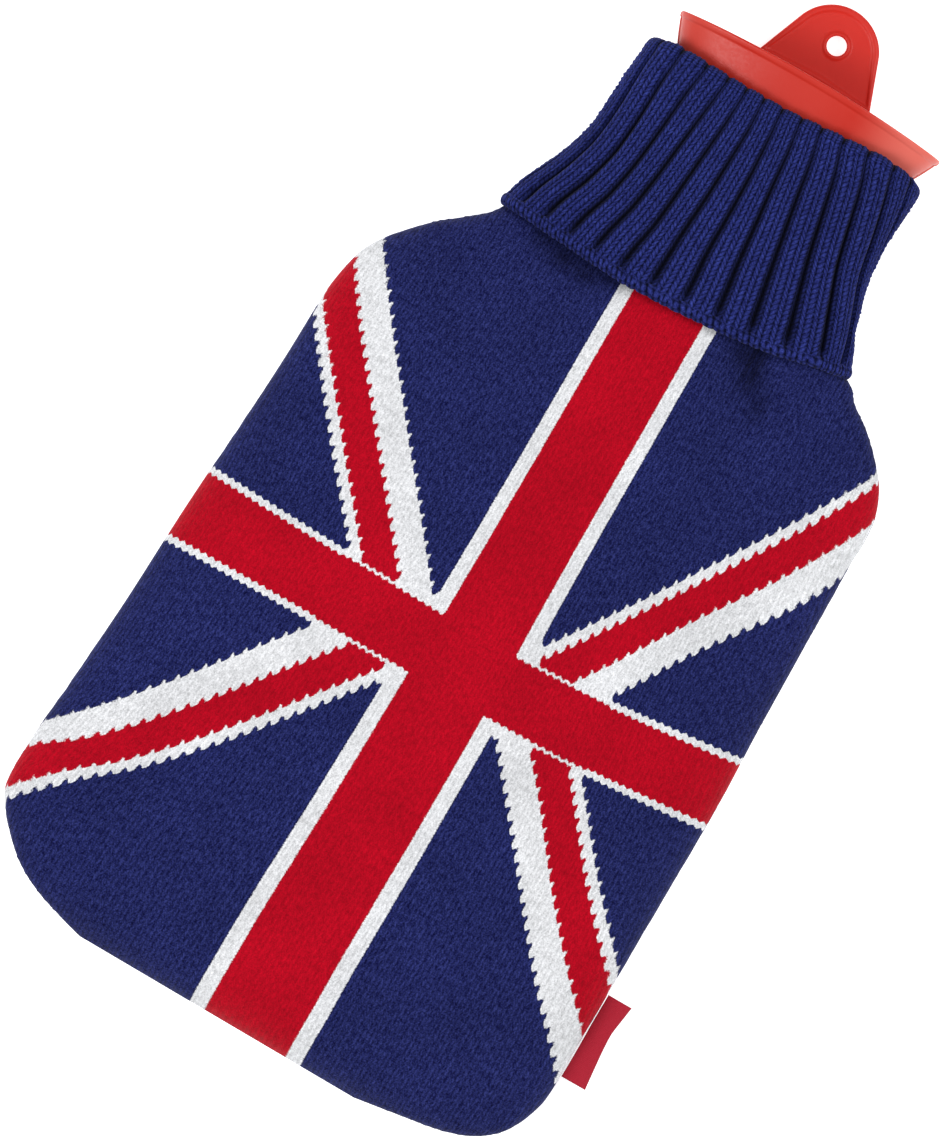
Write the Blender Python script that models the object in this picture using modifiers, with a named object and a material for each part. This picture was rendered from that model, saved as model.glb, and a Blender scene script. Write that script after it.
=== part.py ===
"""A knitted cover on a rubber hot water bottle, lying on its back.

The front of the cover faces +Z, the neck points to +Y, and +X is to the right
as the front is seen. The origin is under the middle of the whole, on the
surface that it lies on. Tables and sizes are in millimetres. A station is the
distance from the foot of the cover, along the bottle's length.
"""

import math
from collections import namedtuple

import bmesh
import bpy
import numpy as np

MM = 0.001

# Driving dimensions
TOTAL_LENGTH = 397.3  # foot of the cover to the top of the hanging tab
PANEL_THICK = 2.2  # stocking-stitch panels, each one layer of knit
RIB_THICK = 1.8  # the rib knit of the polo neck, without its relief
RIB_COUNT = 30  # ribs round the polo neck
RIB_DEPTH = 1.3  # how far the grooves between ribs lie below their crests
GAP = 0.3  # between pieces that touch
SEAM_BAND = 1.5  # height of the upright band of knit beside the seam
ROUNDNESS = 3.0  # superellipse exponent of the panels and of the polo neck
FOLD_RADIUS = 3.4  # half the thickness of the polo neck's turned-over edge
BOTTLE_ROUNDNESS = 2.5  # the same for the bottle and its funnel
HOLE_RADIUS = 3.35  # hole in the hanging tab
WELD = 0.01  # points nearer than this are one
OVAL_SAMPLES = 721  # points that measure the way round a superellipse
SHARP_EDGE = 50.0  # degrees between faces, above which their edge isn't shaded smooth

# The two knitted panels, a row for each section: the half-widths left and right
# of the centre line, and the heights of the side seam, of the front and of the back.
PanelRow = namedtuple("PanelRow", "station left right seam crown under")
PANEL_ROWS = [
    PanelRow(*row)
    for row in (
        (0.0, 62.0, 44.0, 14.0, 15.7, 12.3),
        (1.5, 68.0, 53.0, 14.0, 20.0, 9.5),
        (3.0, 73.0, 62.0, 14.0, 22.3, 7.8),
        (5.0, 79.5, 73.0, 14.0, 24.4, 6.0),
        (8.0, 86.5, 82.5, 14.0, 26.6, 4.0),
        (12.0, 93.0, 89.0, 14.0, 28.6, 2.1),
        (17.0, 98.7, 93.8, 14.0, 30.3, 0.7),
        (24.0, 105.0, 97.3, 14.0, 32.0, 0.0),
        (31.0, 109.0, 99.3, 14.0, 33.3, 0.0),
        (38.0, 109.7, 99.8, 14.0, 34.3, 0.0),
        (52.0, 109.3, 99.6, 14.0, 35.8, 0.0),
        (71.0, 107.8, 99.5, 14.0, 37.2, 0.0),
        (104.0, 105.8, 99.4, 14.0, 38.0, 0.0),
        (138.0, 104.6, 99.4, 14.0, 38.0, 0.0),
        (171.0, 102.6, 98.2, 14.0, 37.8, 0.0),
        (204.0, 101.0, 97.3, 14.0, 37.2, 0.0),
        (226.0, 100.6, 96.8, 14.0, 36.6, 0.0),
        (238.0, 99.0, 96.5, 14.3, 36.1, 0.0),
        (245.0, 97.0, 96.8, 14.8, 35.8, 0.0),
        (252.0, 93.0, 96.3, 15.4, 35.5, 0.0),
        (258.0, 88.0, 94.6, 16.0, 35.2, 0.4),
        (264.5, 81.8, 91.4, 16.9, 35.0, 1.2),
        (271.0, 74.0, 86.0, 17.8, 35.0, 2.6),
        (278.0, 66.0, 78.6, 18.9, 35.2, 4.2),
        (284.0, 62.3, 70.2, 19.7, 35.6, 5.2),
        (288.0, 59.8, 66.8, 20.3, 35.8, 5.5),
        (290.3, 58.4, 61.4, 20.6, 36.0, 5.6),
        (292.5, 57.0, 58.2, 20.8, 36.2, 5.7),
        (296.0, 55.0, 56.0, 21.0, 36.4, 5.8),
        (301.0, 52.0, 52.5, 21.3, 36.8, 5.8),
    )
]
PANEL_COLUMNS = 19  # points across a panel
BACK_FLATNESS = 1.12  # above 1, the back lies flat on the surface across its middle

# Soft hollows in the front where the neck draws it in: centre, reach and depth.
Hollow = namedtuple("Hollow", "x station reach_x reach_s depth")
HOLLOWS = (
    Hollow(34.0, 277.0, 6.0, 17.0, 2.2),
    Hollow(-35.0, 281.0, 13.0, 7.0, 1.4),
)

# The polo neck's outer layer, from its hem (level 0) up to the fold (level 1).
NeckRow = namedtuple("NeckRow", "level left right depth relief")
OUTER_ROWS = [
    NeckRow(*row)
    for row in (
        (0.00, 64.6, 62.6, 20.3, 0.15),
        (0.045, 66.0, 64.7, 20.8, 0.25),
        (0.13, 63.3, 61.8, 20.6, 1.0),
        (0.22, 60.3, 58.9, 20.5, 1.0),
        (0.32, 57.2, 57.1, 20.5, 1.0),
        (0.43, 54.4, 55.0, 20.6, 1.0),
        (0.56, 52.4, 53.5, 20.9, 1.0),
        (0.70, 51.9, 53.0, 21.2, 1.0),
        (0.86, 51.3, 53.5, 21.5, 1.0),
        (1.00, 50.6, 53.9, 21.6, 1.0),
    )
]
# Its inner layer, from the fold down to the panels' upper edge.
InnerRow = namedtuple("InnerRow", "station left right depth centre")
INNER_ROWS = [
    InnerRow(*row)
    for row in (
        (338.0, 45.0, 47.3, 14.9, 21.6),
        (319.0, 47.4, 48.8, 14.6, 21.5),
        (301.3, 49.8, 50.3, 13.3, 21.3),
    )
]
FOLD_STEPS = 4
# Stations of the fold's crest and of the hem, across the width of the neck.
EdgeRow = namedtuple("EdgeRow", "x fold hem")
EDGE_ROWS = [
    EdgeRow(*row)
    for row in (
        (-66.0, 355.8, 283.3),
        (-51.0, 355.8, 282.4),
        (-47.0, 356.4, 282.1),
        (-42.0, 357.2, 281.8),
        (-18.0, 356.6, 280.4),
        (2.0, 356.8, 281.2),
        (22.0, 358.6, 283.0),
        (38.0, 359.8, 285.3),
        (46.0, 359.2, 287.2),
        (50.0, 358.6, 288.2),
        (53.5, 357.4, 289.0),
        (66.0, 357.4, 291.0),
    )
]
HEM_SPREAD = 0.09  # how much wider the front and back ribs lie at the hem
RIB_POINTS = (0.0, 0.2, 0.8)  # a rib's groove and the two sides of its crest, as shares
RIB_POINT_DEPTHS = (RIB_DEPTH, 0.0, 0.0)

# The bottle under the cover, in closed sections.
BodyRow = namedtuple("BodyRow", "station left right low high")
BODY_ROWS = [
    BodyRow(*row)
    for row in (
        (5.0, 56.0, 40.0, 12.3, 17.0),
        (9.0, 78.0, 70.0, 8.6, 21.6),
        (17.0, 91.0, 86.0, 5.2, 26.2),
        (31.0, 102.0, 93.0, 3.2, 29.6),
        (52.0, 103.4, 93.8, 3.0, 32.2),
        (104.0, 100.0, 93.6, 3.0, 34.4),
        (171.0, 97.0, 92.4, 3.0, 34.2),
        (226.0, 94.8, 91.0, 3.0, 33.0),
        (245.0, 90.5, 90.3, 3.2, 32.0),
        (258.0, 81.0, 87.0, 4.4, 31.0),
        (271.0, 66.0, 76.0, 7.2, 30.2),
        (284.0, 52.0, 55.0, 9.4, 30.4),
        (296.0, 38.0, 42.0, 10.0, 31.0),
        (306.0, 22.0, 28.0, 8.8, 33.2),
        (314.0, 15.5, 21.0, 8.0, 34.4),
        (327.7, 14.0, 19.0, 8.2, 34.8),
    )
]
BODY_POINTS = 28

# The funnel, up its outer wall, over the lip and down its inner wall.
FUNNEL_RIM = 370.0
FUNNEL_RIM_HALF = 49.8
FunnelRow = namedtuple("FunnelRow", "station half_width half_depth")
FUNNEL_ROWS = [
    FunnelRow(*row)
    for row in (
        (328.0, 16.8, 13.2),
        (334.0, 22.5, 13.3),
        (342.0, 32.0, 13.5),
        (350.0, 39.4, 13.9),
        (357.5, 44.2, 14.6),
        (366.0, 48.3, 16.0),
        (366.5, 49.3, 17.0),
        (369.2, FUNNEL_RIM_HALF, 17.5),
        (FUNNEL_RIM, 49.0, 16.7),
        (FUNNEL_RIM, 46.8, 14.5),
        (366.0, 45.2, 13.1),
        (357.5, 41.0, 11.6),
        (350.0, 35.8, 10.9),
        (342.0, 27.0, 10.6),
        (337.5, 17.5, 10.4),
        (335.5, 10.6, 9.8),
        (328.0, 10.4, 9.6),
    )
]
FUNNEL_POINTS = 36
FUNNEL_RIM_X = 4.2  # middle of the rim
FUNNEL_NECK_X = 2.5  # middle of the neck
FUNNEL_Z = 21.6
RIM_BOW = 2.3  # how far the ends of the rim lie below its middle
BOW_START = 342.0  # station where the walls begin to share the rim's bow

# The hanging tab, which carries on from the funnel's back wall.
TAB_TOP_RADIUS = 16.0
TAB_TOP_STATION = 381.3
TAB_X = 4.3
TAB_BASE_HALF = 21.3
TAB_LOW = 4.6
TAB_THICK = 3.4
TAB_RAISED = 0.5  # height of the ring round the hole and of the edge
TAB_HOLE = (4.8, 384.0)
TAB_POINTS = 40
# Rings across a face of the tab: their distance from the hole or from the edge,
# and how far the face is raised there.
TabRing = namedtuple("TabRing", "from_hole from_edge raised")
TAB_RINGS = (
    TabRing(0.0, None, 0.2),
    TabRing(0.4, None, TAB_RAISED),
    TabRing(1.1, None, TAB_RAISED),
    TabRing(1.5, None, 0.0),
    TabRing(None, 3.6, 0.0),
    TabRing(None, 2.2, TAB_RAISED),
    TabRing(None, 0.7, TAB_RAISED),
    TabRing(None, 0.0, -0.3),
)

# The stopper, down in the funnel's throat.
STOPPER_SHANK_RADIUS = 9.0
STOPPER_HEAD_RADIUS = 9.9
STOPPER_STATIONS = (329.5, 338.2, 341.0)  # end of the shank, under and over the head
STOPPER_EDGE = 0.8  # chamfer round the head
STOPPER_STEPS = 32
STOPPER_GRIP = (14.0, 4.4, 8.5)  # length, thickness and height of its finger grip
GRIP_SUNK = 1.0  # how far the grip is let into the head
GRIP_ROUNDING = 1.4

# The side label, a strip folded in the side seam.
LabelRow = namedtuple("LabelRow", "station edge drop")
LABEL_ROWS = [
    LabelRow(*row)
    for row in (
        (41.2, 109.7, 3.2),
        (49.0, 108.8, 2.6),
        (57.0, 108.0, 1.6),
        (61.0, 107.8, 1.4),
        (67.0, 108.5, 2.2),
        (72.6, 109.3, 3.0),
    )
]
LABEL_THICK = 1.2
LABEL_STEPS = 4
LABEL_DROOP = 1.6  # how late across its width the label turns down

NAVY_KNIT = (0.017, 0.022, 0.110)
RED_KNIT = (0.490, 0.005, 0.016)
RED_RUBBER = (0.560, 0.045, 0.032)
RED_TAPE = (0.430, 0.022, 0.045)


def clear_scene():
    """Remove every object of the open file."""
    for obj in list(bpy.data.objects):
        bpy.data.objects.remove(obj, do_unlink=True)


def make_material(name, colour, roughness):
    """A Principled material of one colour."""
    material = bpy.data.materials.new(name)
    material.use_nodes = True
    shader = material.node_tree.nodes["Principled BSDF"]
    shader.inputs["Base Color"].default_value = (*colour, 1.0)
    shader.inputs["Roughness"].default_value = roughness
    shader.inputs["Metallic"].default_value = 0.0
    return material


def column(rows, name):
    """One named column of a table, as an array."""
    return np.array([getattr(row, name) for row in rows])


def mirror_power(values, power):
    """The power of the size of each value, with the value's sign."""
    return np.sign(values) * np.abs(values) ** power


def oval(left, right, half_depth, centre_z, shares, roundness):
    """Points of a superellipse at given shares of its length.

    The shares run from its left end over the front to the right end (about
    0.5) and back underneath.
    """
    turn = np.linspace(0.0, 2.0 * math.pi, OVAL_SAMPLES)
    across = -mirror_power(np.cos(turn), 2.0 / roundness)
    x = np.where(across < 0.0, across * left, across * right)
    z = mirror_power(np.sin(turn), 2.0 / roundness) * half_depth
    run = np.concatenate([[0.0], np.cumsum(np.hypot(np.diff(x), np.diff(z)))])
    at = (np.asarray(shares) % 1.0) * run[-1]
    return np.interp(at, run, x), np.interp(at, run, z) + centre_z


def place(x, station, z):
    """World coordinates, in metres, of points given in millimetres and stations."""
    y = np.asarray(station) - TOTAL_LENGTH / 2.0
    return np.stack(np.broadcast_arrays(x, y, z), axis=-1) * MM


def grid_mesh(name, points, ring_closed, rows_closed=False, caps=False):
    """A mesh of quads over a grid of points, which may close either way."""
    rows, columns = points.shape[:2]
    mesh = bpy.data.meshes.new(name)
    row_range = range(rows if rows_closed else rows - 1)
    column_range = range(columns if ring_closed else columns - 1)
    faces = []
    for row in row_range:
        above = (row + 1) % rows
        for col in column_range:
            beside = (col + 1) % columns
            faces.append(
                (
                    row * columns + col,
                    row * columns + beside,
                    above * columns + beside,
                    above * columns + col,
                )
            )
    if caps:
        faces.append(tuple(range(columns - 1, -1, -1)))
        faces.append(tuple((rows - 1) * columns + col for col in range(columns)))
    mesh.from_pydata([tuple(point) for point in points.reshape(-1, 3)], [], faces)
    mesh.update()
    return mesh


def add_object(name, mesh, collection, material, up_hint=None):
    """Weld a mesh, turn its faces outward, and put it in the collection.

    For an open surface, up_hint is the direction that its faces should have.
    """
    shape = bmesh.new()
    shape.from_mesh(mesh)
    bmesh.ops.remove_doubles(shape, verts=shape.verts, dist=WELD * MM)
    bmesh.ops.recalc_face_normals(shape, faces=shape.faces)
    if up_hint is not None:
        total = sum(face.normal.z * face.calc_area() for face in shape.faces)
        if total * up_hint < 0.0:
            bmesh.ops.reverse_faces(shape, faces=shape.faces)
    shape.to_mesh(mesh)
    shape.free()
    mesh.shade_smooth()
    mesh.set_sharp_from_angle(angle=math.radians(SHARP_EDGE))
    obj = bpy.data.objects.new(name, mesh)
    obj.data.materials.append(material)
    collection.objects.link(obj)
    return obj


def thicken(obj, thickness):
    """Give an open surface its wall, on the side away from its faces."""
    wall = obj.modifiers.new("wall", "SOLIDIFY")
    wall.thickness = thickness * MM
    wall.offset = -1.0
    wall.use_even_offset = False
    wall.use_rim = True


def hollow_depth(x, station):
    """Depth of the soft hollows at points of the front."""
    depth = np.zeros(np.broadcast(x, station).shape)
    for dent in HOLLOWS:
        away = ((x - dent.x) / dent.reach_x) ** 2
        away = away + ((station - dent.station) / dent.reach_s) ** 2
        depth = depth + dent.depth * np.exp(-away)
    return depth


def panel_points(front):
    """The outer face of a panel: a grid of sections, with its upright seam band."""
    turn = np.linspace(0.0, math.pi, PANEL_COLUMNS)
    across = -mirror_power(np.cos(turn), 2.0 / ROUNDNESS)
    rise = np.sin(turn) ** (2.0 / ROUNDNESS)
    rise[[0, -1]] = 0.0
    across = np.concatenate([[-1.0], across, [1.0]])
    station = column(PANEL_ROWS, "station")[:, None]
    left = column(PANEL_ROWS, "left")[:, None]
    right = column(PANEL_ROWS, "right")[:, None]
    seam = column(PANEL_ROWS, "seam")[:, None]
    x = np.where(across < 0.0, across * left, across * right)
    if front:
        base = seam + SEAM_BAND
        span = column(PANEL_ROWS, "crown")[:, None] - base
        z = base + np.maximum(span, 0.0) * rise
        z = z - hollow_depth(x[:, 1:-1], station) * rise
        edge = seam + GAP / 2.0
    else:
        base = seam - SEAM_BAND
        span = base - column(PANEL_ROWS, "under")[:, None]
        z = base - np.maximum(span, 0.0) * np.minimum(1.0, BACK_FLATNESS * rise)
        edge = seam - GAP / 2.0
    z = np.concatenate([edge, z, edge], axis=1)
    station = np.broadcast_to(station, x.shape)
    foot_z = np.full((1, x.shape[1]), edge[0, 0])
    x = np.concatenate([x[:1], x])
    station = np.concatenate([station[:1], station])
    z = np.concatenate([foot_z, z])
    return place(x, station, z)


def make_panel(name, front, collection, material):
    """A knitted panel, one sheet from the foot to the neck."""
    mesh = grid_mesh(name, panel_points(front), ring_closed=False)
    panel = add_object(name, mesh, collection, material, up_hint=1.0 if front else -1.0)
    thicken(panel, PANEL_THICK)


def rib_shares():
    """Shares of the way round for every rib point, and how deep each lies."""
    shares = [(rib + 0.5 + part) / RIB_COUNT for rib in range(RIB_COUNT) for part in RIB_POINTS]
    depths = RIB_POINT_DEPTHS * RIB_COUNT
    return np.array(shares), np.array(depths)


def edge_station(name, x):
    """Station of the fold's crest or of the hem, at points across the neck."""
    return np.interp(x, column(EDGE_ROWS, "x"), column(EDGE_ROWS, name))


def neck_ring(row, centre, shares, inward, station):
    """One ring of the polo neck, each of its points pulled inward by a distance."""
    x, z = oval(row.left, row.right, row.depth, centre, shares, ROUNDNESS)
    toward_x = 1.0 - inward / (0.5 * (row.left + row.right))
    toward_z = 1.0 - inward / row.depth
    return place(x * toward_x, station(x), centre + (z - centre) * toward_z)


def neck_points():
    """The polo neck's right side of the cloth: up from the hem, over, and down inside."""
    shares, depths = rib_shares()
    rings = []
    for row in OUTER_ROWS:
        spread = -HEM_SPREAD * (1.0 - row.level)
        spaced = shares + spread * np.sin(4.0 * math.pi * shares) / (4.0 * math.pi)

        def outer_station(x, level=row.level):
            hem = edge_station("hem", x)
            return hem + (edge_station("fold", x) - FOLD_RADIUS - hem) * level

        rings.append(neck_ring(row, row.depth, spaced, depths * row.relief, outer_station))
    top = OUTER_ROWS[-1]
    radius = FOLD_RADIUS - depths
    for step in range(1, FOLD_STEPS + 1):
        angle = math.pi * step / FOLD_STEPS

        def fold_station(x, rise=radius * math.sin(angle)):
            return edge_station("fold", x) - FOLD_RADIUS + rise

        inset = FOLD_RADIUS - radius * math.cos(angle)
        rings.append(neck_ring(top, top.depth, shares, inset, fold_station))
    for row in INNER_ROWS:
        relief = 0.0 if row is INNER_ROWS[-1] else 1.0

        def inner_station(x, station=row.station):
            return np.full(x.shape, station)

        rings.append(neck_ring(row, row.centre, shares, -depths * relief, inner_station))
    return np.array(rings)


def make_neck(collection, material):
    """The rib-knit polo neck: one tube, folded over outwards on itself."""
    points = neck_points()
    mesh = grid_mesh("polo_neck", points, ring_closed=True)
    neck = add_object("polo_neck", mesh, collection, material)
    # The right side of the cloth faces out on the outer layer: up, at the front.
    front_face = max(neck.data.polygons, key=lambda face: face.center.z)
    if front_face.normal.z < 0.0:
        neck.data.flip_normals()
    thicken(neck, RIB_THICK)


def make_body(collection, material):
    """The bottle itself, closed, up to the top of its neck."""
    shares = np.arange(BODY_POINTS) / BODY_POINTS
    rings = []
    for row in BODY_ROWS:
        centre = 0.5 * (row.low + row.high)
        half_depth = 0.5 * (row.high - row.low)
        x, z = oval(row.left, row.right, half_depth, centre, shares, BOTTLE_ROUNDNESS)
        rings.append(place(x, row.station, z))
    mesh = grid_mesh("bottle_body", np.array(rings), ring_closed=True, caps=True)
    add_object("bottle_body", mesh, collection, material)


def rim_station(x):
    """Station of the rim's upper edge, which is highest in the middle."""
    return FUNNEL_RIM - RIM_BOW * ((x - FUNNEL_RIM_X) / FUNNEL_RIM_HALF) ** 2


def make_funnel(collection, material):
    """The filling funnel: an oval cup with a lip, open at the throat."""
    shares = np.arange(FUNNEL_POINTS) / FUNNEL_POINTS
    rings = []
    for row in FUNNEL_ROWS:
        up = (row.station - FUNNEL_ROWS[0].station) / (FUNNEL_RIM - FUNNEL_ROWS[0].station)
        centre_x = FUNNEL_NECK_X + (FUNNEL_RIM_X - FUNNEL_NECK_X) * up
        roundness = 2.0 + (BOTTLE_ROUNDNESS - 2.0) * up
        half = row.half_width
        x, z = oval(half, half, row.half_depth, FUNNEL_Z, shares, roundness)
        share = max(0.0, (row.station - BOW_START) / (FUNNEL_RIM - BOW_START))
        bow = (rim_station(x + centre_x) - FUNNEL_RIM) * share
        rings.append(place(x + centre_x, row.station + bow, z))
    mesh = grid_mesh("bottle_funnel", np.array(rings), ring_closed=True, rows_closed=True)
    add_object("bottle_funnel", mesh, collection, material)


def tab_reach(angle):
    """Distance from the hole's middle to the tab's edge, in each direction.

    The edge is a round top on two straight sides and the base over the rim.
    """
    hole = np.array([TAB_HOLE[0] - TAB_X, TAB_HOLE[1] - TAB_TOP_STATION])
    way = np.stack([np.cos(angle), np.sin(angle)], axis=-1)
    along = way @ hole
    circle = -along + np.sqrt(along**2 + TAB_TOP_RADIUS**2 - hole @ hole)
    base_y = FUNNEL_RIM + GAP - TAB_TOP_STATION
    far = math.hypot(TAB_BASE_HALF, base_y)
    side_turn = math.acos(TAB_TOP_RADIUS / far) - math.atan2(-base_y, TAB_BASE_HALF)
    reach = circle
    for side in (1.0, -1.0):
        normal = np.array([side * math.cos(side_turn), math.sin(side_turn)])
        facing = way @ normal
        flank = (TAB_TOP_RADIUS - hole @ normal) / np.where(facing > 1e-6, facing, 1e-6)
        touch = side * TAB_TOP_RADIUS * math.cos(side_turn)
        point_x = hole[0] + flank * way[:, 0]
        point_y = hole[1] + flank * way[:, 1]
        below = point_y < TAB_TOP_RADIUS * math.sin(side_turn)
        outside = side * point_x >= side * touch
        reach = np.where((facing > 1e-6) & below & outside, flank, reach)
    falling = way[:, 1] < -1e-6
    base = np.where(falling, (base_y - hole[1]) / np.where(falling, way[:, 1], -1.0), np.inf)
    return np.where(base < reach, base, reach)


def tab_angles():
    """Directions round the hole, with one on each corner of the base."""
    low = FUNNEL_RIM + GAP - TAB_HOLE[1]
    right = math.atan2(low, TAB_X + TAB_BASE_HALF - TAB_HOLE[0])
    left = math.atan2(low, TAB_X - TAB_BASE_HALF - TAB_HOLE[0]) + 2.0 * math.pi
    base_points = TAB_POINTS // 5
    over = np.linspace(right, left, TAB_POINTS - base_points, endpoint=False)
    under = np.linspace(left, right + 2.0 * math.pi, base_points, endpoint=False)
    return np.concatenate([over, under])


def make_tab(collection, material):
    """The hanging tab: a plate with a raised edge, and a raised ring round its hole."""
    angle = tab_angles()
    reach = tab_reach(angle)
    loops = []
    for face in (1.0, -1.0):
        rings = []
        for ring in TAB_RINGS:
            if ring.from_edge is None:
                radius = np.full(angle.shape, HOLE_RADIUS + ring.from_hole)
            else:
                radius = reach - ring.from_edge
            x = TAB_HOLE[0] + radius * np.cos(angle)
            station = TAB_HOLE[1] + radius * np.sin(angle)
            middle = TAB_LOW + TAB_THICK / 2.0
            z = middle + face * (TAB_THICK / 2.0 - TAB_RAISED + ring.raised)
            rings.append(place(x, station, z))
        loops.extend(rings if face > 0.0 else rings[::-1])
    mesh = grid_mesh("bottle_tab", np.array(loops), ring_closed=True, rows_closed=True)
    add_object("bottle_tab", mesh, collection, material)


def make_stopper(collection, material):
    """The stopper: a shank and a head in one, with a finger grip joined on."""
    end, under, over = STOPPER_STATIONS
    profile = (
        (0.0, over),
        (STOPPER_HEAD_RADIUS - STOPPER_EDGE, over),
        (STOPPER_HEAD_RADIUS, over - STOPPER_EDGE),
        (STOPPER_HEAD_RADIUS, under),
        (STOPPER_SHANK_RADIUS, under),
        (STOPPER_SHANK_RADIUS, end),
        (0.0, end),
    )
    mesh = bpy.data.meshes.new("bottle_stopper")
    points = [(radius * MM, 0.0, station * MM) for radius, station in profile]
    mesh.from_pydata(points, [(i, i + 1) for i in range(len(points) - 1)], [])
    stopper = bpy.data.objects.new("bottle_stopper", mesh)
    stopper.data.materials.append(material)
    collection.objects.link(stopper)
    spin = stopper.modifiers.new("turned", "SCREW")
    spin.steps = STOPPER_STEPS
    spin.render_steps = STOPPER_STEPS
    spin.use_merge_vertices = True
    spin.merge_threshold = WELD * MM
    spin.use_smooth_shade = True
    stopper.rotation_euler = (math.radians(-90.0), 0.0, 0.0)
    stopper.location = place(FUNNEL_NECK_X, 0.0, FUNNEL_Z)

    length, thick, height = STOPPER_GRIP
    bpy.ops.mesh.primitive_cube_add(size=1.0)
    grip = bpy.context.object
    grip.name = "grip_joiner"
    grip.dimensions = (length * MM, (height + GRIP_SUNK) * MM, thick * MM)
    grip_station = over + (height - GRIP_SUNK) / 2.0
    grip.location = place(FUNNEL_NECK_X, grip_station, FUNNEL_Z)
    bpy.context.view_layer.update()
    bpy.ops.object.transform_apply(location=False, rotation=False, scale=True)
    edge = grip.modifiers.new("rounded", "BEVEL")
    edge.width = GRIP_ROUNDING * MM
    edge.segments = 3
    join = stopper.modifiers.new("grip", "BOOLEAN")
    join.operation = "UNION"
    join.object = grip
    join.solver = "EXACT"
    return grip


def make_label(collection, material):
    """The side label: a short folded strip that stands out of the side seam."""
    share = np.linspace(0.0, 1.0, LABEL_STEPS + 1)[None, :]
    station = column(LABEL_ROWS, "station")[:, None]
    panel_station = column(PANEL_ROWS, "station")
    seam_x = np.interp(station, panel_station, column(PANEL_ROWS, "right"))
    seam_z = np.interp(station, panel_station, column(PANEL_ROWS, "seam"))
    edge = column(LABEL_ROWS, "edge")[:, None]
    drop = column(LABEL_ROWS, "drop")[:, None]
    x = seam_x + GAP + (edge - seam_x - GAP) * share
    z = seam_z + LABEL_THICK / 2.0 - drop * share**LABEL_DROOP
    mesh = grid_mesh("side_label", place(x, station, z), ring_closed=False)
    label = add_object("side_label", mesh, collection, material, up_hint=1.0)
    thicken(label, LABEL_THICK)


def main():
    """Build every piece of the bottle and its cover."""
    clear_scene()
    model = bpy.data.collections.new("hot_water_bottle_cover")
    cutters = bpy.data.collections.new("cutters")
    bpy.context.scene.collection.children.link(model)
    bpy.context.scene.collection.children.link(cutters)

    front_knit = make_material("front_knit", RED_KNIT, 0.95)
    back_knit = make_material("back_knit", NAVY_KNIT, 0.95)
    rib_knit = make_material("rib_knit", NAVY_KNIT, 0.95)
    woven_tape = make_material("woven_tape", RED_TAPE, 0.7)
    body_rubber = make_material("body_rubber", RED_RUBBER, 0.45)
    funnel_rubber = make_material("funnel_rubber", RED_RUBBER, 0.35)
    tab_rubber = make_material("tab_rubber", RED_RUBBER, 0.4)
    stopper_plastic = make_material("stopper_plastic", RED_RUBBER, 0.4)

    make_panel("cover_front", True, model, front_knit)
    make_panel("cover_back", False, model, back_knit)
    make_neck(model, rib_knit)
    make_label(model, woven_tape)
    make_body(model, body_rubber)
    make_funnel(model, funnel_rubber)
    make_tab(model, tab_rubber)
    grip = make_stopper(model, stopper_plastic)
    for owner in list(grip.users_collection):
        owner.objects.unlink(grip)
    cutters.objects.link(grip)
    grip.hide_render = True
    grip.display_type = "WIRE"


main()
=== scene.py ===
"""The looks of a knitted hot water bottle cover, on its rubber bottle.

Tables are in millimetres. A station is the distance from the foot of the cover
along the bottle. Cloth is counted in wales, the columns of stitches, from the
middle of the upright stripe, and in courses, the rows of stitches, from the
middle of the level band.
"""

from __future__ import annotations

import logging
import math
from collections.abc import Iterator
from dataclasses import dataclass
from enum import Enum, IntEnum

import bpy
import numpy as np
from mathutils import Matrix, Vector


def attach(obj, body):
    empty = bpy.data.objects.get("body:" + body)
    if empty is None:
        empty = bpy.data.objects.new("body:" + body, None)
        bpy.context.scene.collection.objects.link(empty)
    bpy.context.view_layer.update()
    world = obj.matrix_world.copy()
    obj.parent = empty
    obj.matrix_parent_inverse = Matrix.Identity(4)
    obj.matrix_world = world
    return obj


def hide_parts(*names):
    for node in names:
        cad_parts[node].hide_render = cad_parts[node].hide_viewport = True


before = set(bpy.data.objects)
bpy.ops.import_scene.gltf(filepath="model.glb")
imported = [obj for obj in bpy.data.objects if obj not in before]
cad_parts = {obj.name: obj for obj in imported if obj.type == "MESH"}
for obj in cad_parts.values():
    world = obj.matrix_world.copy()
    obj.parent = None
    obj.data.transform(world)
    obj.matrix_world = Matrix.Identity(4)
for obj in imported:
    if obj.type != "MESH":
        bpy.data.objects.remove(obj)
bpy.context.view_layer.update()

log = logging.getLogger("bottle_cover")

MM = 0.001
TOTAL_LENGTH = 397.3  # foot of the cover to the top of the hanging tab
FOOT_Y = -TOTAL_LENGTH / 2.0
UV_CELLS = 100.0  # wales or courses in one unit of a knit's UV map
SLANT = 0.82  # how much of a course a stitch rises from its middle to its sides
VALLEY = 0.3  # height of the hollow between a stitch's two legs
MEETING_DIP = 0.35  # how far the legs go down where one course meets the next
ROUNDNESS = 3.0  # superellipse exponent of the panels and the polo neck
BOTTLE_ROUNDNESS = 2.5
RING_STEPS = 1440  # steps in which a whole superellipse is measured
TINY = 1e-9  # keeps a division from meeting nought
SHARE, FIRST, SECOND = 0, 6, 7  # inputs of a Mix node that mixes colours
MIXED = 2  # and its output
Array = np.ndarray


# ---------------------------------------------------------------- arithmetic


def linear(hex_colour: str) -> tuple[float, float, float, float]:
    """Turn an sRGB colour into linear light, by the standard's two-part curve.

    Args:
        hex_colour: a colour such as "#23295d".

    Returns:
        Red, green and blue from 0 to 1, and an alpha of 1.
    """
    parts = [int(hex_colour[i : i + 2], 16) / 255.0 for i in (1, 3, 5)]
    light = [p / 12.92 if p <= 0.04045 else ((p + 0.055) / 1.055) ** 2.4 for p in parts]
    return (*light, 1.0)


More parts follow.
